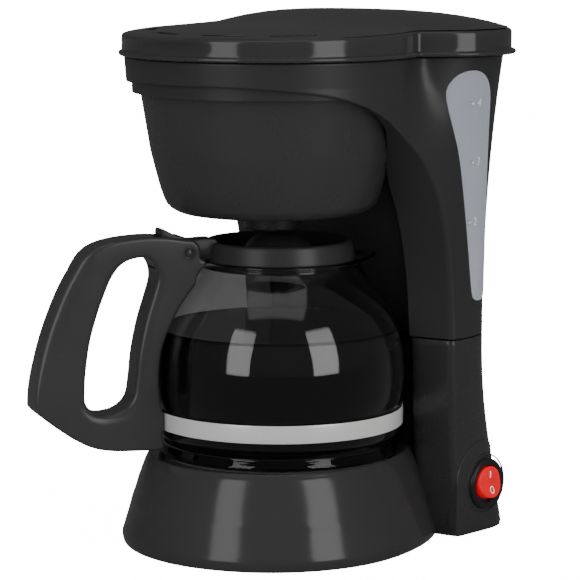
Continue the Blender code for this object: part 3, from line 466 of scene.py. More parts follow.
def moulded(name, colour, rough, spread, grain, depth, specular=0.5):
    """Moulded plastic: faint flow tint, uneven gloss and a fine surface grain."""
    graph = Graph(name)
    graph.set(Roughness=rough, IOR=1.47)
    graph.shader.inputs["Specular IOR Level"].default_value = specular
    lighter = tuple(value * 1.25 + 0.001 for value in colour)
    graph.tint(graph.noise(9.0, 2.0), colour, lighter)
    cloud = graph.noise(60.0, 5.0, roughness=0.65)
    graph.link(graph.remap(cloud, rough - spread, rough + spread), graph.shader.inputs["Roughness"])
    graph.bumps([(graph.noise(grain, 2.0), depth), (graph.noise(45.0, 1.0), depth * 1.5)], edge=0.0004)
    return graph


def metal(name, colour, rough, stretch, scale=900.0, anisotropy=0.0):
    """Metal with fine brushed lines along one direction."""
    graph = Graph(name)
    graph.set(Metallic=1.0, Roughness=rough, Anisotropic=anisotropy)
    lines = graph.noise(scale, 4.0, stretch=stretch, roughness=0.7)
    darker = tuple(value * 0.86 for value in colour)
    graph.tint(lines, darker, colour)
    graph.link(graph.remap(lines, rough - 0.06, rough + 0.08), graph.shader.inputs["Roughness"])
    graph.bumps([(lines, 0.000004)], edge=0.0003)
    return graph


def make_materials():
    moulded("gloss_black", (0.021, 0.021, 0.0214), 0.15, 0.03, 2600.0, 0.0000018)
    moulded("basket_black", (0.021, 0.021, 0.0214), 0.3, 0.05, 2400.0, 0.0000022)
    moulded("lid_black", (0.020, 0.020, 0.0204), 0.12, 0.03, 2600.0, 0.0000015)
    moulded("bezel_black", (0.008, 0.008, 0.009), 0.3, 0.03, 2600.0, 0.000004)
    moulded("shell_black", (0.017, 0.017, 0.0174), 0.36, 0.04, 2600.0, 0.0000022)
    moulded("tower_black", (0.018, 0.018, 0.0184), 0.27, 0.04, 2600.0, 0.0000022)
    moulded("satin_black", (0.018, 0.018, 0.0184), 0.36, 0.05, 2200.0, 0.000003)
    moulded("handle_black", (0.026, 0.026, 0.0264), 0.24, 0.04, 2400.0, 0.0000022)
    moulded("tank_plastic", (0.62, 0.66, 0.68), 0.36, 0.05, 1500.0, 0.000006)
    moulded("silicone", (0.72, 0.70, 0.64), 0.5, 0.06, 1200.0, 0.00001)
    moulded("rubber", (0.02, 0.02, 0.02), 0.72, 0.06, 3200.0, 0.00002)
    moulded("wire_sleeve", (0.66, 0.65, 0.6), 0.7, 0.05, 2600.0, 0.00004)
    moulded("mark_white", (0.86, 0.86, 0.85), 0.4, 0.03, 2600.0, 0.000003)
    moulded("mark_grey", (0.20, 0.21, 0.23), 0.4, 0.03, 2600.0, 0.000003)
    moulded("mark_line", (0.55, 0.56, 0.58), 0.35, 0.03, 2600.0, 0.000003)
    metal("steel", (0.72, 0.72, 0.71), 0.2, (1.0, 1.0, 14.0), 1100.0)
    metal("band_steel", (0.88, 0.88, 0.87), 0.2, (0.25, 0.25, 12.0), 1500.0)
    MATERIALS["band_steel"].node_tree.nodes["Principled BSDF"].inputs["Metallic"].default_value = 0.55
    metal("aluminium", (0.55, 0.56, 0.57), 0.42, (1.0, 1.0, 1.0), 1600.0)
    metal("brass", (0.65, 0.48, 0.2), 0.35, (1.0, 1.0, 1.0), 1400.0)
    metal("plate_coating", (0.30, 0.30, 0.31), 0.38, (1.0, 1.0, 1.0), 1800.0)
    MATERIALS["plate_coating"].node_tree.nodes["Principled BSDF"].inputs["Metallic"].default_value = 0.3
    make_mesh_material()
    make_gauge_material()
    make_switch_material()
    make_glass_material()
    make_coffee_material()


def make_mesh_material():
    """Gold-coloured woven screen, drawn as crossing rows of small pores."""
    graph = Graph("mesh_gold")
    graph.set(Metallic=0.9, Roughness=0.34)
    place = graph.node("ShaderNodeTexCoord")
    pores = graph.node("ShaderNodeTexVoronoi", feature="F1")
    pores.inputs["Scale"].default_value = 1100.0
    pores.inputs["Randomness"].default_value = 0.15
    graph.link(place.outputs["Object"], pores.inputs["Vector"])
    graph.tint(pores.outputs["Distance"], (0.10, 0.07, 0.03), (0.72, 0.56, 0.27), 0.16, 0.42)
    graph.bumps([(pores.outputs["Distance"], 0.00012)])


def make_gauge_material():
    """Milky blue-grey window with a slow change of tone down its length."""
    graph = Graph("gauge_blue")
    graph.set(Roughness=0.3, IOR=1.49)
    graph.shader.inputs["Subsurface Weight"].default_value = 0.25
    graph.shader.inputs["Subsurface Scale"].default_value = 0.004
    graph.shader.inputs["Subsurface Radius"].default_value = (1.0, 1.0, 1.0)
    place = graph.node("ShaderNodeTexCoord")
    split = graph.node("ShaderNodeSeparateXYZ")
    graph.link(place.outputs["Object"], split.inputs["Vector"])
    fade = graph.remap(split.outputs["Z"], 0.0, 1.0, 0.10, 0.212)
    cloud = graph.remap(graph.noise(40.0, 4.0), -0.16, 0.16)
    total = graph.node("ShaderNodeMath", operation="ADD")
    graph.link(fade, total.inputs[0])
    graph.link(cloud, total.inputs[1])
    graph.tint(total.outputs["Value"], (0.30, 0.315, 0.35), (0.25, 0.265, 0.305), 0.0, 1.0)
    graph.link(graph.remap(graph.noise(70.0, 4.0), 0.27, 0.34), graph.shader.inputs["Roughness"])
    graph.bumps([(graph.noise(1500.0, 2.0), 0.000006)])


def make_switch_material():
    graph = Graph("switch_red")
    graph.set(Roughness=0.24, IOR=1.5)
    graph.shader.inputs["Subsurface Weight"].default_value = 0.3
    graph.shader.inputs["Subsurface Scale"].default_value = 0.003
    graph.shader.inputs["Subsurface Radius"].default_value = (1.0, 0.02, 0.02)
    # The weak red emission is a painted glow: the rocker holds no lamp, and the emission only brightens the
    # red.
    graph.shader.inputs["Emission Color"].default_value = (0.9, 0.0006, 0.012, 1.0)
    graph.shader.inputs["Emission Strength"].default_value = 0.2
    graph.shader.inputs["Specular IOR Level"].default_value = 0.35
    graph.tint(graph.noise(160.0, 3.0), (0.56, 0.0008, 0.006), (0.66, 0.0014, 0.010))
    graph.link(graph.remap(graph.noise(220.0, 3.0), 0.2, 0.28), graph.shader.inputs["Roughness"])
    graph.bumps([(graph.noise(2600.0, 2.0), 0.000004)], edge=0.0004)


def make_glass_material():
    graph = Graph("clear_glass")
    graph.set(Base_Color=(0.985, 0.99, 0.988), Roughness=0.0, IOR=1.47)
    graph.shader.inputs["Transmission Weight"].default_value = 1.0
    graph.bumps([(graph.noise(28.0, 1.5), 0.00002)])


def make_coffee_material():
    graph = Graph("coffee")
    graph.set(Roughness=0.06, IOR=1.33)
    graph.tint(graph.noise(18.0, 3.0), (0.0022, 0.0012, 0.0008), (0.0034, 0.0018, 0.0011))
    graph.bumps([(graph.noise(30.0, 1.0), 0.00001)])


# --------------------------------------------------------------- upper housing

def sweep_y(z):
    """Depth of the recess's back edge on the tower side at a height."""
    for (y0, z0), (y1, z1) in zip(FOOT_FRONT, FOOT_FRONT[1:]):
        if z <= z1:
            return mix(y0, y1, (z - z0) / (z1 - z0))
    return FOOT_FRONT[-1][0]


def edge_curve():
    """Collar's lower edge from the front centre, down to the seam, on the skin."""
    points = []
    count = 84
    for step in range(count + 1):
        y, z = bezier(SWEEP_HANDLES, step / count)
        points.append((side_reach(housing_field, y, z), y, z))
    points.reverse()
    first = points[0]
    start = math.atan2(first[1] - KEY_CENTRE_Y, first[0])
    front = trace(housing_field, KEY_CENTRE_Y, np.linspace(-math.pi / 2, start, 14)[:-1], COLLAR_Z)
    return [tuple(point) for point in front] + points


def edge_frames(points):
    """Surface normal and in-surface direction away from the recess per point."""
    frames = []
    for index, point in enumerate(points):
        before = Vector(points[max(index - 1, 0)])
        after = Vector(points[min(index + 1, len(points) - 1)])
        if index == 0:
            before = Vector((-points[1][0], points[1][1], points[1][2]))
        along = (after - before).normalized()
        normal = field_normal(housing_field, point)
        away = normal.cross(along).normalized()
        if away.z + 0.4 * away.y < 0:
            away = -away
        frames.append((normal, away))
    return frames


def even_angles(field, centre_y, z, start, end, count):
    """Angles that space points evenly along a field's outline."""
    fine = np.linspace(start, end, 400)
    points = trace(field, centre_y, fine, z)
    run = np.concatenate([[0], np.cumsum(np.linalg.norm(np.diff(points[:, :2], axis=0), axis=1))])
    return np.interp(np.linspace(0, run[-1], count), run, fine), run[-1]


def collar_and_tower():
    """Right half as one grid from the front centre round to the rear centre."""
    edge = edge_curve()
    frames = edge_frames(edge)
    radii = [mix(2.6, 0.8, ease(point[2], 140.0, 196.0)) for point in edge]
    start = [Vector(point) + away * radius for point, (_, away), radius in zip(edge, frames, radii)]
    bottom_angles = [math.atan2(point.y - KEY_CENTRE_Y, point.x) for point in start]
    bottom_heights = [point.z for point in start]
    bottom_angles[0] = -math.pi / 2
    rear_count = 44
    corner = bottom_angles[-1]
    rear_bottom, _ = even_angles(housing_field, KEY_CENTRE_Y, SEAM_Z, corner, math.pi / 2, rear_count + 1)
    steps = [(Vector(b) - Vector(a)).length for a, b in zip(edge, edge[1:])]
    run = np.concatenate([[0], np.cumsum(steps)])
    top_corner = math.radians(56.0)
    top_fine, _ = even_angles(housing_field, KEY_CENTRE_Y, HOUSING_TOP_Z, -math.pi / 2, top_corner, 300)
    edge_top = np.interp(run / run[-1], np.linspace(0, 1, 300), top_fine)
    rear_top, _ = even_angles(housing_field, KEY_CENTRE_Y, HOUSING_TOP_Z, top_corner, math.pi / 2,
                              rear_count + 1)
    low_angle = np.concatenate([bottom_angles, rear_bottom[1:]])
    low_z = np.concatenate([bottom_heights, np.full(rear_count, SEAM_Z + 0.45)])
    low_z[len(edge) - 1] = SEAM_Z + 0.45
    high_angle = np.concatenate([edge_top, rear_top[1:]])

    shape = bmesh.new()
    rows = []
    count = 40
    for step in range(count + 1):
        amount = step / count
        angles = mix(low_angle, high_angle, amount)
        heights = mix(low_z, HOUSING_TOP_Z - 0.6, amount)
        rows.append(trace(housing_field, KEY_CENTRE_Y, angles, heights))
    for inset, z in ((0.18, 219.82), (0.6, 220.0), (1.9, 220.0), (2.4, 219.6), (2.6, 218.0), (2.6, 204.0)):
        rows.append(trace(housing_field, KEY_CENTRE_Y, high_angle, z, inset))
    rows.insert(0, trace(housing_field, KEY_CENTRE_Y, low_angle, np.maximum(low_z - 0.4, SEAM_Z + 0.1), 0.0))
    lip = return_rows(edge, frames, radii, rear_bottom)
    rows[0] = lip[-1]
    grid = [[tuple(point) for point in row] for row in lip[:-1] + rows]
    add_grid(shape, mirrored(grid), wrap=True)
    return shape, lip[0][:len(edge)]


def mirrored(rows):
    """Full closed rows from right-hand halves that end on the middle plane."""
    full = []
    for row in rows:
        right = [tuple(point) for point in row]
        right[0] = (0.0, right[0][1], right[0][2])
        right[-1] = (0.0, right[-1][1], right[-1][2])
        full.append(right + [(-x, y, z) for x, y, z in right[-2:0:-1]])
    return full


def nose_point(y, z):
    """Inner end of the tower's front face, next to the carafe."""
    return Vector((NOSE_X, y - NOSE_SLOPE * (CORNER_X - NOSE_X), z))


def return_rows(edge, frames, radii, rear_angles):
    """Rows that run from inside, along the underside, round the lower edge."""
    inner, faces = [], []
    for point, (normal, away), radius in zip(edge, frames, radii):
        corner = Vector(point)
        flat = Vector((point[0], point[1], 0.0)).normalized()
        ring = Vector((flat.x * 59.7, flat.y * 59.7, point[2] + 0.5))
        nose = nose_point(point[1], point[2])
        inner.append(ring.lerp(nose, 1.0 - ease(point[2], 158.0, 196.0)))
        faces.append((corner, normal, away, radius))
    rows = [list(inner)]
    for share in (0.5, 0.9):
        rows.append([target.lerp(corner - normal * radius, share)
                     for target, (corner, normal, away, radius) in zip(inner, faces)])
    for turn in (90.0, 67.5, 45.0, 22.5):
        angle = math.radians(turn)
        rows.append([corner + away * radius - normal * radius
                     + (normal * math.cos(angle) - away * math.sin(angle)) * radius
                     for corner, normal, away, radius in faces])
    insets = (2.6, 1.6, 0.6, 0.42, 0.3, 0.16, 0.04)
    lifts = (0.0, 0.0, 0.0, 0.0, 0.08, 0.2, 0.36)
    for row, inset, lift in zip(rows, insets, lifts):
        tail = trace(housing_field, KEY_CENTRE_Y, rear_angles[1:], SEAM_Z + 0.02 + lift, inset)
        row.extend(Vector(point) for point in tail)
    return rows


def pocket_arc(corner, back_y, count=18):
    """Half of the recess's back wall in plan, from the nose to the middle."""
    return [(corner.x * math.cos(math.pi / 2 * step / count),
             corner.y + (back_y - corner.y) * math.sin(math.pi / 2 * step / count), corner.z)
            for step in range(count + 1)]


def make_upper_housing():
    shape, inner = collar_and_tower()
    rows = []
    for point in reversed(inner):
        if point.z > 205.5 or point.y < 4.0:
            break
        half = pocket_arc(point, POCKET_BACK_Y)
        rows.append(half + [(-x, y, z) for x, y, z in reversed(half[:-1])])
    add_grid(shape, rows, wrap=False)
    item = from_bmesh("upper_shell", shape, "shell_black", 32.0, weld=0.01)
    return piece(item, "machine", "gloss_black", "upper_housing")


def make_hinge_ears():
    """Two ears behind the collar that carry the lid's pins."""
    for index, side in enumerate((-1, 1)):
        outline = [(97.0, 206.0), (102.0, 209.2), (105.4, 212.2)]
        outline += [(HINGE_Y + 3.0 * math.cos(angle), HINGE_Z + 3.0 * math.sin(angle))
                    for angle in (math.radians(-60 + 12 * step) for step in range(18))]
        outline += [(103.5, 219.0), (97.0, 219.0)]
        inset = offset_outline(outline, -0.4)
        rows = [[(side * x, y, z) for y, z in ring]
                for x, ring in ((13.4, inset), (13.0, outline), (20.0, outline), (19.6, inset))]
        rows[0] = [(side * 13.0, y, z) for y, z in inset]
        rows[1] = [(side * 13.4, y, z) for y, z in outline]
        rows[2] = [(side * 19.6, y, z) for y, z in outline]
        rows[3] = [(side * 20.0, y, z) for y, z in inset]
        ear = loft(f"hinge_ear_{index + 1}", rows, "gloss_black")
        piece(ear, "machine", "gloss_black")


# --------------------------------------------------------------- lower housing

def foot_ring(z, inset=0.0):
    """Plan of the tower's foot: rounded corners, slanted front faces, hollow middle."""
    front = sweep_y(z)
    corner = Vector((side_reach(tower_field, front, z), front))
    first = trace(tower_field, REAR_CENTRE_Y, [0.0], z)[0]
    start = math.atan2(corner.y + 3.4 - REAR_CENTRE_Y, first[0])
    angles, _ = even_angles(tower_field, REAR_CENTRE_Y, z, start, math.pi / 2, 46)
    outer = [(point[0], point[1]) for point in trace(tower_field, REAR_CENTRE_Y, angles, z)]
    nose = nose_point(front, z).xy
    facet = (nose - corner).normalized()
    begin, end = Vector(outer[0]), corner + facet * 3.4
    turn = []
    for step in range(1, 7):
        t = step / 7
        turn.append(tuple(begin * (1 - t) ** 2 + corner * 2 * t * (1 - t) + end * t ** 2))
    arc = [(x, y) for x, y, _ in pocket_arc(nose_point(front, z), POCKET_BACK_Y)]
    start, finish = end.lerp(nose, 0.62), Vector(arc[2])
    blunt = [tuple(start * (1 - t) ** 2 + nose * 2 * t * (1 - t) + finish * t ** 2)
             for t in (step / 8 for step in range(9))]
    half = outer[::-1] + turn + [tuple(end.lerp(nose, t)) for t in (0.0, 0.3)] + blunt + arc[3:]
    full = half + [(-x, y) for x, y in half[-2:0:-1]]
    return offset_outline(full, -inset) if inset else full


def make_tower_foot():
    heights = [2.4, 3.6, 6.0, 9.0, 13.0, 18.0, 24.0, 30.0, 37.0, 44.0, 52.0, 60.0, 68.0, 76.0, 84.0, 89.0]
    rings = [(8.0, 3.0), (1.6, 2.8), (1.3, 2.3), (1.3, 0.7), (1.6, 0.2)]
    rings = [level(foot_ring(z, inset), z) for z, inset in rings]
    rings += [level(foot_ring(z), z) for z in heights]
    top = SEAM_Z - 0.3
    rings += [level(foot_ring(top - 0.36), top - 0.36), level(foot_ring(top, 0.12), top - 0.12),
              level(foot_ring(top, 0.36), top), level(foot_ring(top, 2.6), top)]
    foot = loft("tower_foot", rings, "tower_black", caps=(False, True), smooth_angle=32.0)
    return piece(foot, "machine", "gloss_black", "lower_housing")


def base_ring(radius, stretch, z, count=180):
    ring = []
    for step in range(count):
        angle = math.tau * step / count
        rear = mix(1.0, stretch, clamp(math.sin(angle) * 1.0) ** 0.5) if math.sin(angle) > 0 else 1.0
        ring.append((radius * math.cos(angle), radius * rear * math.sin(angle), z))
    return ring


def make_base_cone():
    """Flared foot under the carafe with a rounded upper rim and a flat deck."""
    stretch = BASE_REAR_STRETCH
    inner = [(63.5, 9.0, stretch), (64.8, 0.9, stretch), (65.3, 0.5, stretch), (66.0, 0.5, stretch),
             (66.7, 0.9, stretch), (67.25, 1.8, stretch), (67.6, 3.2, stretch), (67.75, 4.4, stretch)]
    outer = [(radius, z, stretch) for radius, z in smooth_path(BASE_PROFILE, 4)]
    rim = [(55.75, 41.0, stretch), (55.3, 41.45, stretch), (54.8, 41.55, stretch * 0.99), (54.4, 41.3, 1.25),
           (54.1, 40.9, 1.2)]
    deck = [(53.4, 40.8, 1.1), (52.9, 40.7, 1.0), (52.6, 40.3, 1.0), (52.6, 36.0, 1.0)]
    rows = [base_ring(radius, extra, z) for radius, z, extra in inner + outer + rim + deck]
    for row, (radius, z, extra) in zip(rows[-4:], deck):
        for index, (x, y, height) in enumerate(row):
            row[index] = (x, y + CARAFE_Y * (1.1 - extra) * 10 if extra > 1.0 else y + CARAFE_Y, height)
    cone = loft("base_cone", rows, "gloss_black", caps=(False, False))
    return piece(cone, "machine", "gloss_black", "lower_housing")


def pad_side(y, z):
    """Outer face of the arch-shaped land round the switch, just proud of the skin."""
    return side_reach(tower_field, y, z) + 0.55


def arch_outline(radius, top, count=36):
    centre = PAD_CENTRE_Y
    points = [(centre + radius * math.cos(math.pi * step / count),
               top - radius + radius * math.sin(math.pi * step / count)) for step in range(count + 1)]
    down = [(centre - radius, z) for z in np.linspace(top - radius, 2.8, 14)[1:]]
    across = [(y, 2.8) for y in np.linspace(centre - radius, centre + radius, 20)[1:-1]]
    up = [(centre + radius, z) for z in np.linspace(2.8, top - radius, 14)[:-1]]
    return points + down + across + up


def make_switch_pad():
    outline = arch_outline(PAD_RADIUS, PAD_TOP_Z)
    rows = [[(pad_side(y, z) - 5.0, y, z) for y, z in outline],
            [(pad_side(y, z) - 0.75, y, z) for y, z in outline]]
    for inset, drop in ((0.22, 0.22), (0.75, 0.0)):
        rows.append([(pad_side(y, z) - drop, y, z) for y, z in offset_outline(outline, -inset)])
    middle = (SWITCH_Y, SWITCH_Z)
    ring = offset_outline(outline, -0.75)
    for share in (0.7, 0.4, 0.12):
        rows.append([(pad_side(mix(middle[0], y, share), mix(middle[1], z, share)),
                      mix(middle[0], y, share), mix(middle[1], z, share)) for y, z in ring])
    pad = loft("switch_land", rows, "tower_black", caps=(False, True))
    return piece(pad, "machine", "gloss_black", "lower_housing")


# ----------------------------------------------------------------- water gauge

def window_path():
    handles = ((77.0, 113.0), (77.0, 126.0), (76.0, 142.0), (73.6, 160.0), (71.4, 174.0), (69.2, 187.0),
               (66.2, 201.0), (63.0, 207.8), (58.6, 212.0), (53.0, 213.9), (47.0, 213.2), (42.6, 210.0),
               (40.4, 204.0), (42.8, 193.5), (50.4, 172.0), (56.4, 150.0), (60.6, 130.0), (63.6, 113.5),
               (66.0, 109.6), (70.5, 108.6), (75.0, 109.4))
    return smooth_path(handles, 8, closed=True)


def lens_point(y, z, lift):
    x = side_reach(tower_field, y, min(z, HOUSING_TOP_Z))
    normal = field_normal(tower_field, (x, y, z))
    spot = Vector((x, y, z)) + normal * lift
    return (spot.x, spot.y, spot.z)


def make_gauge_window():
    outline = window_path()
    rows = [[lens_point(y, z, -1.4) for y, z in outline]]
    for inset, lift in ((0.0, 0.15), (0.15, 0.42), (0.45, 0.55), (0.8, 0.5), (1.0, 0.32), (1.4, 0.28)):
        rows.append([lens_point(y, z, lift) for y, z in offset_outline(outline, -inset)])
    ring = offset_outline(outline, -1.4)
    spine = [spine_point(z) for _, z in ring]
    for share in (0.8, 0.6, 0.4, 0.2, 0.0):
        rows.append([lens_point(mix(sy, y, share), mix(sz, z, share), 0.28)
                     for (y, z), (sy, sz) in zip(ring, spine)])
    lens = loft("gauge_lens", rows, "gauge_blue", caps=(False, False), smooth_angle=50.0)
    return piece(lens, "machine", "gauge_blue", "gauge_window")


def spine_point(z):
    """Nearest place on the window's middle line."""
    height = clamp(z, 114.0, 203.0)
    middle = np.interp(height, (110.0, 126.0, 142.0, 160.0, 174.0, 187.0, 203.0),
                       (70.4, 69.2, 67.2, 63.6, 60.4, 57.4, 53.4))
    return float(middle), height


def glyph(name, text, size, depth):
    """Mesh of a short generic mark, centred, in the XY plane, in millimetres."""
    curve = bpy.data.curves.new(name, "FONT")
    curve.body = text
    curve.align_x = "CENTER"
    curve.align_y = "CENTER"
    curve.size = size
    curve.extrude = depth
    source = bpy.data.objects.new(name, curve)
    bpy.context.scene.collection.objects.link(source)
    mesh = bpy.data.meshes.new_from_object(source.evaluated_get(bpy.context.evaluated_depsgraph_get()))
    bpy.data.objects.remove(source, do_unlink=True)
    return mesh


def make_gauge_marks():
    """Cup numbers and pointers, raised a little on the window."""
    for text, y, z in GAUGE_MARKS:
        mesh = glyph(f"gauge_number_{text}", text, MARK_SIZE, MARK_DEPTH)
        spot = Vector(lens_point(y, z, 0.3))
        normal = field_normal(tower_field, (spot.x, spot.y, spot.z))
        across = Vector((0, 0, 1)).cross(normal).normalized()
        up = normal.cross(across)
        turn = Matrix((across, up, normal)).transposed().to_4x4()
        centre = Vector(to_world(spot))
        mesh.transform(Matrix.Translation(centre) @ turn @ Matrix.Scale(MM, 4))
        mark = bpy.data.objects.new(f"gauge_number_{text}", mesh)
        bpy.context.scene.collection.objects.link(mark)
        mesh.materials.clear()
        mesh.materials.append(MATERIALS["mark_line"])
        piece(mark, "machine", "gauge_blue")
        shape = bmesh.new()
        left = -4.6
        tip, top, low = (left - 1.6, 0.0), (left + 0.6, 1.0), (left + 0.6, -1.0)
        verts = [shape.verts.new(centre + (across * u + up * v + normal * MARK_DEPTH) * MM)
                 for u, v in (tip, low, top)]
        shape.faces.new(verts)
        pointer = from_bmesh(f"gauge_pointer_{text}", shape, "mark_line", weld=0.0001)
        solid = pointer.modifiers.new("thickness", "SOLIDIFY")
        solid.thickness = 0.2 * MM
        piece(pointer, "machine", "gauge_blue")


# ---------------------------------------------------------------------- basket

def make_basket():
    outer = [(61.0, 214.2), (61.0, 212.4), (59.2, 212.2), (59.0, 208.0), (54.0, 177.7), (49.4, 160.2),
             (46.6, 153.4), (41.0, 150.2), (26.0, 149.9), (13.2, 149.8), (12.3, 149.2), (12.3, 142.8),
             (10.7, 142.8), (10.7, 149.9), (3.6, 150.0), (3.6, 152.0), (41.4, 152.3), (46.0, 158.0),
             (52.0, 178.0), (57.6, 212.6), (58.6, 214.2), (61.0, 214.2)]
    basket = turned("basket_cone", rounded(outer, 3.4, 6), "basket_black", steps=160, smooth_angle=50.0)
    return piece(basket, "machine", "satin_black", "basket_housing")


# ------------------------------------------------------------------------- lid

def lid_ring(inset, z, scale=1.0, crown=False, count=300, scoop=0.0, tab=0.0):
    angles = np.linspace(0, math.tau, count, endpoint=False) + 0.5 * math.tau / count
    points = trace(lid_field, KEY_CENTRE_Y, angles, 225.0, inset)
    ring = []
    middle_y = 56.0
    for x, y, _ in points:
        front = math.degrees(math.atan2(x, -y))
        dip = math.exp(-(front / 15.0) ** 4)
        reach = math.hypot(x, y)
        shift = 1.0 + (tab - scoop) * dip / reach
        x, y = x * shift, y * shift
        height = z
        if crown:
            rim = lid_rim_height(y)
            x, y = x * scale, middle_y + (y - middle_y) * scale
            lift = LID_CROWN * (1.0 - scale ** 3.2) * (0.34 + 0.66 * ease(y, 4.0, 60.0))
            height = mix(lid_rim_height(middle_y), rim, scale * scale) + lift + z
        ring.append((x, y, height))
    return ring


def lid_rim_height(y):
    amount = clamp((y + 60.0) / 100.0)
    return LID_RIM_Z + 1.6 * amount * amount * (3 - 2 * amount)


def make_lid():
    """Crowned lid: rolled flange, skirt with a finger scoop, soft upper edge."""
    flange = -LID_FLANGE
    rows = [lid_ring(4.0, -2.2, 0.3, True), lid_ring(3.0, -2.2, 0.92, True), lid_ring(2.4, 226.0),
            lid_ring(2.0, LID_Z + 0.2), lid_ring(1.6, LID_Z)]
    rows += [lid_ring(flange + 0.5, LID_Z, tab=0.7), lid_ring(flange + 0.12, LID_Z + 0.3, tab=0.8),
             lid_ring(flange, LID_Z + 0.9, tab=0.8), lid_ring(flange + 0.1, LID_Z + 1.5, tab=0.8),
             lid_ring(flange + 0.4, LID_Z + 1.9, tab=0.7), lid_ring(-0.5, LID_Z + 2.0, tab=0.2),
             lid_ring(-0.12, LID_Z + 2.15, scoop=-0.5), lid_ring(0.0, LID_Z + 2.6, scoop=-0.3)]
    for share, scoop in ((0.22, 0.5), (0.42, 1.2), (0.6, 1.3), (0.78, 0.8), (0.9, 0.25)):
        rows.append(skirt_ring(share, scoop))
    rows += [lid_ring(0.05, -1.0, 1.0, True), lid_ring(0.22, -0.55, 1.0, True),
             lid_ring(0.55, -0.22, 1.0, True), lid_ring(1.0, -0.04, 1.0, True),
             lid_ring(1.6, 0.0, 1.0, True), lid_ring(2.4, -0.06, 1.0, True)]
    for scale in (0.975, 0.95, 0.92, 0.87, 0.8, 0.7, 0.58, 0.45, 0.3, 0.15, 0.02):
        rows.append(lid_ring(0.0, 0.0, scale, True))
    lid = loft("lid_shell", rows, "lid_black", smooth_angle=40.0)
    for index, middle in enumerate((-55.0, -17.0, 20.0, 53.0)):
        cut(lid, steam_slot(f"steam_slot_{index}", middle))
    return piece(lid, "lid", "gloss_black", "top_lid")


def skirt_ring(share, scoop):
    """Skirt ring between the flange and the rounded upper edge."""
    low = lid_ring(0.0, LID_Z + 2.6, scoop=scoop)
    high = lid_ring(0.0, -1.0, 1.0, True)
    return [(x, y, mix(z, top[2], share)) for (x, y, z), top in zip(low, high)]


def steam_slot(name, middle):
    angles = [math.radians(middle - 11 + 22 * step / 14) for step in range(15)]
    outer = [(55.2 * math.sin(angle), -55.2 * math.cos(angle)) for angle in angles]
    inner = [(51.4 * math.sin(angle), -51.4 * math.cos(angle)) for angle in reversed(angles)]
    return loft(name, [level(outer + inner, z) for z in (215, 245)])


def make_lid_lugs():
    for index, side in enumerate((-1, 1)):
        outline = [(HINGE_Y - 3.4, LID_Z + 1.2), (HINGE_Y - 3.0, HINGE_Z + 1.6)]
        outline += [(HINGE_Y + 3.0 * math.cos(angle), HINGE_Z + 3.0 * math.sin(angle))
                    for angle in (math.radians(180 + 12 * step) for step in range(16))]
        outline += [(HINGE_Y + 2.0, LID_Z + 1.2)]
        inset = offset_outline(outline, -0.4)
        rows = [[(side * x, y, z) for y, z in ring]
                for x, ring in ((20.4, inset), (20.8, outline), (24.6, outline), (25.0, inset))]
        lug = loft(f"lid_lug_{index + 1}", rows, "lid_black")
        piece(lug, "lid", "gloss_black")


# ------------------------------------------------------------------ hot plate

def make_hot_plate():
    profile = [(0.0, 40.35), (20.0, 40.45), (38.0, 40.5), (47.0, 40.45), (50.6, 40.3), (51.7, 39.9),
               (52.0, 39.2), (52.0, 36.4), (50.4, 36.3), (50.2, 38.4), (0.0, 38.9)]
    plate = turned("warming_plate", profile, "plate_coating", (0.0, CARAFE_Y), 160)
    return piece(plate, "machine", "plate_coating", "hot_plate")


# --------------------------------------------------------------------- switch

def make_switch():
    profile = [(8.5, -6.0), (8.4, 1.0), (8.7, 1.75), (9.3, 2.05), (10.2, 2.1), (11.0, 1.85), (11.5, 1.2),
               (11.6, 0.2), (11.6, -0.5)]
    bezel = turned("switch_bezel", profile, "bezel_black", steps=96)
    place_on_side(bezel)
    piece(bezel, "machine", "satin_black", "switch_body")
    floor = turned("switch_well", [(8.45, -6.0), (0.0, -6.0)], "satin_black", steps=96)
    place_on_side(floor)
    piece(floor, "machine", "satin_black")
    ring = turned("switch_ring", [(13.0, -0.3), (13.05, 0.22), (13.3, 0.36), (13.6, 0.22), (13.65, -0.3)],
                  "gloss_black", steps=96)
    place_on_side(ring)
    piece(ring, "machine", "gloss_black")


def place_on_side(item):
    """Stand a shape drawn about +Z on the switch's place in the right wall."""
    centre = Vector(to_world((SWITCH_FACE_X, SWITCH_Y, SWITCH_Z)))
    origin = Vector(to_world((0, 0, 0)))
    item.data.transform(Matrix.Translation(centre) @ Matrix.Rotation(math.radians(90), 4, "Y")
                        @ Matrix.Translation(-origin))
    return item


def rocker_face(u, v):
    """Height of the rocker's two-sided face over its pivot."""
    ridge = math.sqrt(u * u + 0.7 ** 2) - 0.7
    return 6.2 + 0.155 * ridge - 0.004 * v * v


def rocker_to_world(points):
    """From the rocker's own axes (up, side, out) to machine millimetres."""
    pivot = Vector((SWITCH_FACE_X - 3.0, SWITCH_Y, SWITCH_Z))
    turn = Matrix.Rotation(math.radians(90.0 - ROCKER_TILT), 3, "Y")
    return [tuple(pivot + turn @ Vector(point)) for point in points]


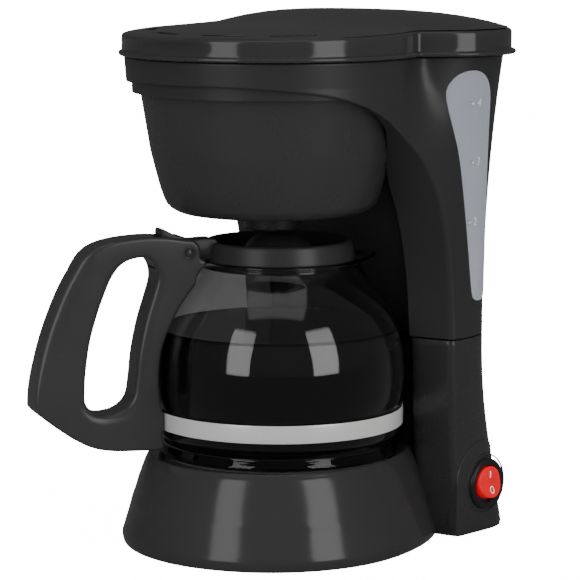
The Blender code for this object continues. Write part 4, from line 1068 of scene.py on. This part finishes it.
def make_rocker():
    count = 72
    ring = [(math.cos(math.tau * step / count), math.sin(math.tau * step / count)) for step in range(count)]
    rows = [[(7.3 * x, 7.8 * y, -3.6) for x, y in ring]]
    for share, drop in ((1.0, 0.85), (0.985, 0.45), (0.955, 0.18), (0.91, 0.04), (0.86, 0.0), (0.7, 0.0),
                        (0.5, 0.0), (0.3, 0.0), (0.1, 0.0)):
        wide, tall = 7.3 * share, 7.8 * share
        rows.append([(wide * x, tall * y, rocker_face(wide * x, tall * y) - drop)
                     for x, y in ring])
    rocker = loft("rocker_button", [rocker_to_world(row) for row in rows], "switch_red")
    piece(rocker, "rocker", "switch_red", "switch_rocker")
    bar = [(-5.2, -0.3), (-2.0, -0.3), (-2.0, 0.3), (-5.2, 0.3)]
    rows = [[(u, v, rocker_face(u, v) + lift) for u, v in bar] for lift in (-0.2, 0.07)]
    mark = loft("mark_on", [rocker_to_world(row) for row in rows], "mark_white")
    piece(mark, "rocker", "switch_red")
    sides = 40
    rows = []
    for scale, lift in ((1.0, -0.2), (1.0, 0.07), (0.72, 0.07), (0.72, -0.2), (1.0, -0.2)):
        rows.append([(3.6 + 1.75 * scale * math.cos(math.tau * step / sides),
                      1.35 * scale * math.sin(math.tau * step / sides), 0.0) for step in range(sides)])
        rows[-1] = [(u, v, rocker_face(u, v) + lift) for u, v, _ in rows[-1]]
    mark = loft("mark_off", [rocker_to_world(row) for row in rows], "mark_white", caps=(False, False))
    piece(mark, "rocker", "switch_red")


# --------------------------------------------------------------------- carafe

def side_point(reach, across=0.0):
    ux, uy = HANDLE_SIDE
    return (ux * reach - uy * across, CARAFE_Y + uy * reach + ux * across)


def spout_amount(angle):
    toward = math.atan2(-HANDLE_SIDE[1], -HANDLE_SIDE[0])
    away = (angle - toward + math.pi) % math.tau - math.pi
    return math.exp(-(math.degrees(away) / SPOUT_SPREAD) ** 2)


def glass_ring(radius, z, spout=0.0, rise=0.0, count=160):
    ring = []
    for step in range(count):
        angle = math.tau * step / count
        amount = spout_amount(angle)
        reach = radius + spout * amount
        ring.append((reach * math.cos(angle), CARAFE_Y + reach * math.sin(angle), z + rise * amount ** 2))
    return ring


def neck_spout(z):
    return 2.5 * ease(z, 117.0, 127.0)


def make_glass():
    profile = smooth_path(GLASS_PROFILE, 4)
    rows = [glass_ring(0.02, 42.6), glass_ring(30.0, 42.4), glass_ring(46.0, 42.0)]
    rows += [glass_ring(radius, z, neck_spout(z)) for radius, z in profile]
    rows += [glass_ring(MOUTH_RADIUS + extra, MOUTH_Z + z, SPOUT_REACH * share, SPOUT_RISE * share)
             for extra, z, share in ((-0.1, -0.9, 0.5), (0.3, -0.5, 0.8), (0.6, 0.0, 1.0), (0.4, 0.7, 1.02),
                                     (-0.4, 1.1, 1.02), (-1.3, 1.0, 0.97), (-1.9, 0.3, 0.84),
                                     (-2.0, -0.6, 0.58))]
    inner = [(radius - GLASS_WALL, z) for radius, z in reversed(profile) if z > 46.0]
    rows += [glass_ring(radius, z, neck_spout(z)) for radius, z in inner]
    rows += [glass_ring(49.0, 45.4), glass_ring(44.0, 44.6), glass_ring(28.0, 44.6), glass_ring(0.02, 44.7)]
    glass = loft("carafe_pot", rows, "clear_glass", smooth_angle=60.0)
    return piece(glass, "carafe", "clear_glass", "carafe_glass")


def make_coffee():
    """Brewed coffee up to its level, with a small meniscus."""
    gap = GLASS_WALL + 0.12
    wall = [(radius - gap, z) for radius, z in smooth_path(GLASS_PROFILE, 4) if 46.6 < z < COFFEE_Z - 0.6]
    top = [(wall[-1][0] + 0.0, COFFEE_Z - 0.25), (wall[-1][0] - 0.3, COFFEE_Z + 0.25),
           (wall[-1][0] - 1.2, COFFEE_Z), (wall[-1][0] - 6.0, COFFEE_Z - 0.08), (20.0, COFFEE_Z - 0.08),
           (0.02, COFFEE_Z - 0.08)]
    profile = [(0.02, 45.0), (30.0, 45.0), (44.0, 45.1), (48.6, 46.0)] + wall + top
    coffee = turned("coffee", profile, "coffee", (0.0, CARAFE_Y), 128, smooth_angle=60.0)
    return piece(coffee, "carafe", "clear_glass")


def make_band():
    """Polished steel strap with rolled edges."""
    low, high = BAND_Z
    outer, inner = BAND_RADIUS, BAND_RADIUS - 0.55
    profile = [(inner, low + 0.1), (outer - 0.3, low), (outer - 0.06, low + 0.14), (outer, low + 0.5),
               (outer, (low + high) / 2), (outer, high - 0.5), (outer - 0.06, high - 0.14),
               (outer - 0.3, high), (inner, high - 0.1), (inner, low + 0.1)]
    band = turned("carafe_strap", profile, "band_steel", (0.0, CARAFE_Y), 160, smooth_angle=50.0)
    return piece(band, "carafe", "steel", "carafe_band")


def handle_point(u, across, z):
    x, y = side_point(u, across)
    return (x, y, z)


def edge_weight(u, z):
    """One on the outer limb, none at the hinge and along the glass."""
    return ease(u, 78.0, 96.0) * ease(z, 68.0, 96.0) * (1.0 - 0.75 * ease(z, 128.0, 140.0))


def hole_weight(u, z):
    """Wide hollow round the lower and inner sides of the grip."""
    inner = 1.0 - 0.62 * ease(u, 78.0, 88.0)
    return mix(1.0, 0.25, ease(z, 120.0, 133.0)) * mix(1.0, inner, ease(z, 66.0, 76.0))


def make_handle():
    outer = smooth_path(list(HANDLE_OUTER) + list(HANDLE_GLASS_SIDE), 5, closed=True)
    hole = smooth_path(GRIP_HOLE, 6, closed=True)
    half = HANDLE_THICKNESS / 2
    shape = bmesh.new()
    for side in (1, -1):
        rims = []
        for outline, weights, widths, depths, sign in (
                (outer, [edge_weight(u, z) for u, z in outer], (1.7, 8.6), (1.3, 3.6), -1),
                (hole, [hole_weight(u, z) for u, z in hole], (1.3, 4.8), (1.0, 3.0), 1)):
            width = [mix(*widths, weight) for weight in weights]
            depth = [mix(*depths, weight) for weight in weights]
            rows = [[handle_point(u, 0.0, z) for u, z in outline]]
            for step in range(9):
                turn = step / 8
                along = 1.0 - math.cos(turn * math.pi / 2) ** 0.8 if step else 0.0
                up = math.sin(turn * math.pi / 2)
                ring = offset_outline(outline, [sign * value * along for value in width])
                rows.append([handle_point(u, side * (half - deep * (1.0 - up)), z)
                             for (u, z), deep in zip(ring, depth)])
            add_grid(shape, rows, wrap=True)
            rims.append(rows[-1])
        fill_between(shape, rims)
    handle = from_bmesh("carafe_grip", shape, "handle_black", 34.0, weld=0.01)
    cut(handle, handle_block("hinge_slot", (30.0, 60.0), 5.5, (127.2, 150.0)), angle=34.0)
    for side in (-1, 1):
        well = turned("pin_well", [(0.0, 7.9), (2.25, 7.9), (2.25, 9.6), (0.0, 9.6)], None, steps=48)
        cut(handle, on_handle(well, side), angle=34.0)
    return piece(handle, "carafe", "gloss_black", "carafe_handle")


def on_handle(item, side):
    """Turn a shape drawn about +Z so that +Z points out of one cheek of the handle."""
    spot = Vector(to_world(side_point(CARAFE_PIN_REACH) + (CARAFE_PIN_Z,)))
    turn = math.atan2(HANDLE_SIDE[1], HANDLE_SIDE[0])
    spin = Matrix.Rotation(turn, 4, "Z") @ Matrix.Rotation(math.radians(90 * side), 4, "X")
    item.data.transform(Matrix.Translation(spot) @ spin @ Matrix.Translation(-Vector(to_world((0, 0, 0)))))
    return item


def fill_between(shape, rims):
    """Flat face between the outer rim and the rim of the hole."""
    edges = []
    for rim in rims:
        verts = [shape.verts.new(to_world(point)) for point in rim]
        edges += [shape.edges.new((a, b)) for a, b in zip(verts, verts[1:] + verts[:1])]
    bmesh.ops.triangle_fill(shape, use_beauty=True, use_dissolve=False, edges=edges)


def handle_block(name, reach, half, heights):
    rows = [[handle_point(reach[0], -half, z), handle_point(reach[1], -half, z),
             handle_point(reach[1], half, z), handle_point(reach[0], half, z)] for z in heights]
    return loft(name, rows)


def make_hinge_pin():
    """Pin whose heads sit in round wells with a raised lip on both cheeks."""
    end = [(1.55, 8.2), (1.5, 8.55), (1.25, 8.72), (0.0, 8.76)]
    pin = turned("hinge_pin", [(radius, -z) for radius, z in reversed(end)] + end, "handle_black", steps=40)
    piece(on_handle(pin, 1), "carafe", "steel", "carafe_hinge_pin")
    for index, side in enumerate((-1, 1)):
        lip = [(2.2, 8.2), (2.24, 8.62), (2.5, 8.78), (2.9, 8.7), (3.3, 8.4)]
        ring = turned(f"pin_lip_{index + 1}", lip, "handle_black", steps=48)
        piece(on_handle(ring, side), "carafe", "gloss_black")


def make_carafe_lid():
    profile = [(0.02, 139.6), (7.2, 138.4), (12.0, 135.2), (14.4, 130.2), (26.8, 130.6), (30.4, 129.8),
               (30.6, 124.6), (32.0, 124.6), (32.4, 127.9), (33.9, 128.2), (34.4, 128.6), (34.5, 129.4),
               (33.4, 135.6), (32.9, 136.9), (32.2, 137.4), (31.4, 137.5), (30.8, 137.0), (27.4, 133.0),
               (25.6, 132.3), (17.0, 131.9), (15.9, 132.3), (15.2, 134.2), (12.6, 137.4), (8.0, 139.9),
               (0.02, 141.0)]
    lid = turned("pot_lid", rounded(profile, 0.9, 3), "satin_black", (0.0, CARAFE_Y), 128, smooth_angle=50.0)
    for index in range(4):
        angle = math.radians(45 + 90 * index)
        spot = (19.5 * math.cos(angle), CARAFE_Y + 19.5 * math.sin(angle))
        hole = loft(f"drip_hole_{index}", [level(circle(1.6, spot, 24), z) for z in (125, 145)])
        cut(lid, hole, angle=50.0)
    piece(lid, "carafe_cover", "satin_black", "carafe_lid")
    outline = smooth_path([(31.0, 130.2), (38.0, 130.4), (CARAFE_PIN_REACH, 131.0), (47.2, 132.4),
                           (48.0, 135.6), (51.0, 138.2), (55.4, 139.4), (56.6, 140.8), (56.7, 143.4),
                           (55.9, 144.5), (54.6, 144.1), (49.6, 141.5), (47.2, 141.1), (45.4, 139.9),
                           (42.0, 139.3), (31.0, 138.9)], 4, closed=True)
    rows = []
    for across, inset in ((-5.0, 0.6), (-4.8, 0.15), (-4.4, 0.0), (4.4, 0.0), (4.8, 0.15), (5.0, 0.6)):
        rows.append([handle_point(u, across, z) for u, z in offset_outline(outline, -inset)])
    arm = loft("pot_lid_arm", rows, "satin_black")
    piece(arm, "carafe_cover", "satin_black")


# ------------------------------------------------------------- carried-over CAD

def dress_cad_nodes():
    for look, prefixes in CAD_LOOKS.items():
        for name, node in NODES.items():
            if name.startswith(prefixes):
                node.data.materials.clear()
                node.data.materials.append(MATERIALS[look])


# --------------------------------------------------------------------- studio

def direction(azimuth, elevation):
    turn, lift = math.radians(azimuth), math.radians(elevation)
    return Vector((math.sin(turn) * math.cos(lift), -math.cos(turn) * math.cos(lift), math.sin(lift)))


def make_camera():
    data = bpy.data.cameras.new("camera")
    data.sensor_width = 36.0
    data.lens = 173.3
    data.shift_x = 0.032
    data.shift_y = -0.0016
    data.clip_end = 60.0
    camera = bpy.data.objects.new("camera", data)
    away = direction(CAMERA_AZIMUTH, CAMERA_ELEVATION)
    camera.location = Vector(CAMERA_TARGET) + away * CAMERA_DISTANCE
    camera.rotation_euler = away.to_track_quat("Z", "Y").to_euler()
    bpy.context.scene.collection.objects.link(camera)
    bpy.context.scene.camera = camera


def make_softbox(name, azimuth, distance, centre_z, width, height, strength):
    """Rectangular light facing the object; strength is its radiance."""
    data = bpy.data.lights.new(name, "AREA")
    data.shape = "RECTANGLE"
    data.size = width
    data.size_y = height
    data.energy = strength * math.pi * width * height
    light = bpy.data.objects.new(name, data)
    flat = direction(azimuth, 0.0)
    light.location = Vector((flat.x * distance, flat.y * distance, centre_z))
    toward = Vector((0.0, 0.0, 0.14)) - light.location
    light.rotation_euler = toward.to_track_quat("-Z", "Y").to_euler()
    bpy.context.scene.collection.objects.link(light)


def make_lights():
    make_softbox("softbox_right", 86.0, 1.1, 0.46, 0.50, 0.80, 2.7)
    make_softbox("softbox_left", 7.0, 1.1, 0.46, 0.44, 0.80, 2.3)
    make_softbox("softbox_top", 40.0, 0.25, 1.5, 1.2, 1.2, 0.6)


def make_world():
    """Even light, but a dim surround in reflections that is darker behind the object."""
    world = bpy.data.worlds.new("studio")
    world.use_nodes = True
    bpy.context.scene.world = world
    tree = world.node_tree
    back = tree.nodes["Background"]
    back.inputs["Color"].default_value = (1.0, 1.0, 1.0, 1.0)
    place = tree.nodes.new("ShaderNodeTexCoord")
    facing = tree.nodes.new("ShaderNodeVectorMath")
    facing.operation = "DOT_PRODUCT"
    facing.inputs[1].default_value = direction(58.0, 25.0)
    tree.links.new(place.outputs["Generated"], facing.inputs[0])
    levels = []
    for low, high in ((SKY_BACK, SKY_FRONT), (GLOSSY_BACK, GLOSSY_FRONT)):
        ramp = tree.nodes.new("ShaderNodeMapRange")
        ramp.inputs["From Min"].default_value = -1.0
        ramp.inputs["To Min"].default_value = low
        ramp.inputs["To Max"].default_value = high
        tree.links.new(facing.outputs["Value"], ramp.inputs["Value"])
        levels.append(ramp.outputs["Result"])
    path = tree.nodes.new("ShaderNodeLightPath")
    choose = tree.nodes.new("ShaderNodeMix")
    choose.data_type = "FLOAT"
    tree.links.new(path.outputs["Is Glossy Ray"], choose.inputs[0])
    tree.links.new(levels[0], choose.inputs[2])
    tree.links.new(levels[1], choose.inputs[3])
    glow = tree.nodes.new("ShaderNodeMath")
    glow.operation = "MULTIPLY_ADD"
    glow.inputs[1].default_value = BACKGROUND_GLOW
    tree.links.new(path.outputs["Is Camera Ray"], glow.inputs[0])
    tree.links.new(choose.outputs[0], glow.inputs[2])
    tree.links.new(glow.outputs["Value"], back.inputs["Strength"])


def make_floor():
    """Pale sweep that looks white directly and dim in the object's reflections."""
    shape = bmesh.new()
    size = 18.0
    for x, y in ((-size, -size), (size, -size), (size, size), (-size, size)):
        shape.verts.new((x, y, 0.0))
    shape.faces.new(shape.verts[:])
    graph = Graph("floor")
    graph.set(Roughness=0.9)
    graph.shader.inputs["Specular IOR Level"].default_value = 0.1
    graph.shader.inputs["Emission Color"].default_value = (1.0, 1.0, 1.0, 1.0)
    graph.tint(graph.noise(2.0, 2.0), (0.86, 0.86, 0.86), (0.88, 0.88, 0.88))
    path = graph.node("ShaderNodeLightPath")
    glow = graph.node("ShaderNodeMath", operation="MULTIPLY")
    glow.inputs[1].default_value = BACKGROUND_GLOW
    graph.link(path.outputs["Is Camera Ray"], glow.inputs[0])
    graph.link(glow.outputs["Value"], graph.shader.inputs["Emission Strength"])
    dim = graph.node("ShaderNodeEmission")
    dim.inputs["Strength"].default_value = GLOSSY_FLOOR
    blend = graph.node("ShaderNodeMixShader")
    graph.link(path.outputs["Is Glossy Ray"], blend.inputs[0])
    graph.link(graph.shader.outputs["BSDF"], blend.inputs[1])
    graph.link(dim.outputs["Emission"], blend.inputs[2])
    graph.link(blend.outputs["Shader"], graph.tree.nodes["Material Output"].inputs["Surface"])
    floor = from_bmesh("floor", shape, "floor")


# ---------------------------------------------------------------------- build

make_camera()
make_materials()
make_floor()
make_lights()
make_world()
dress_cad_nodes()
make_upper_housing()
make_hinge_ears()
make_tower_foot()
make_base_cone()
make_switch_pad()
make_gauge_window()
make_gauge_marks()
make_basket()
make_lid()
make_lid_lugs()
make_hot_plate()
make_switch()
make_rocker()
make_glass()
make_coffee()
make_band()
make_handle()
make_hinge_pin()
make_carafe_lid()

bpy.context.view_layer.update()
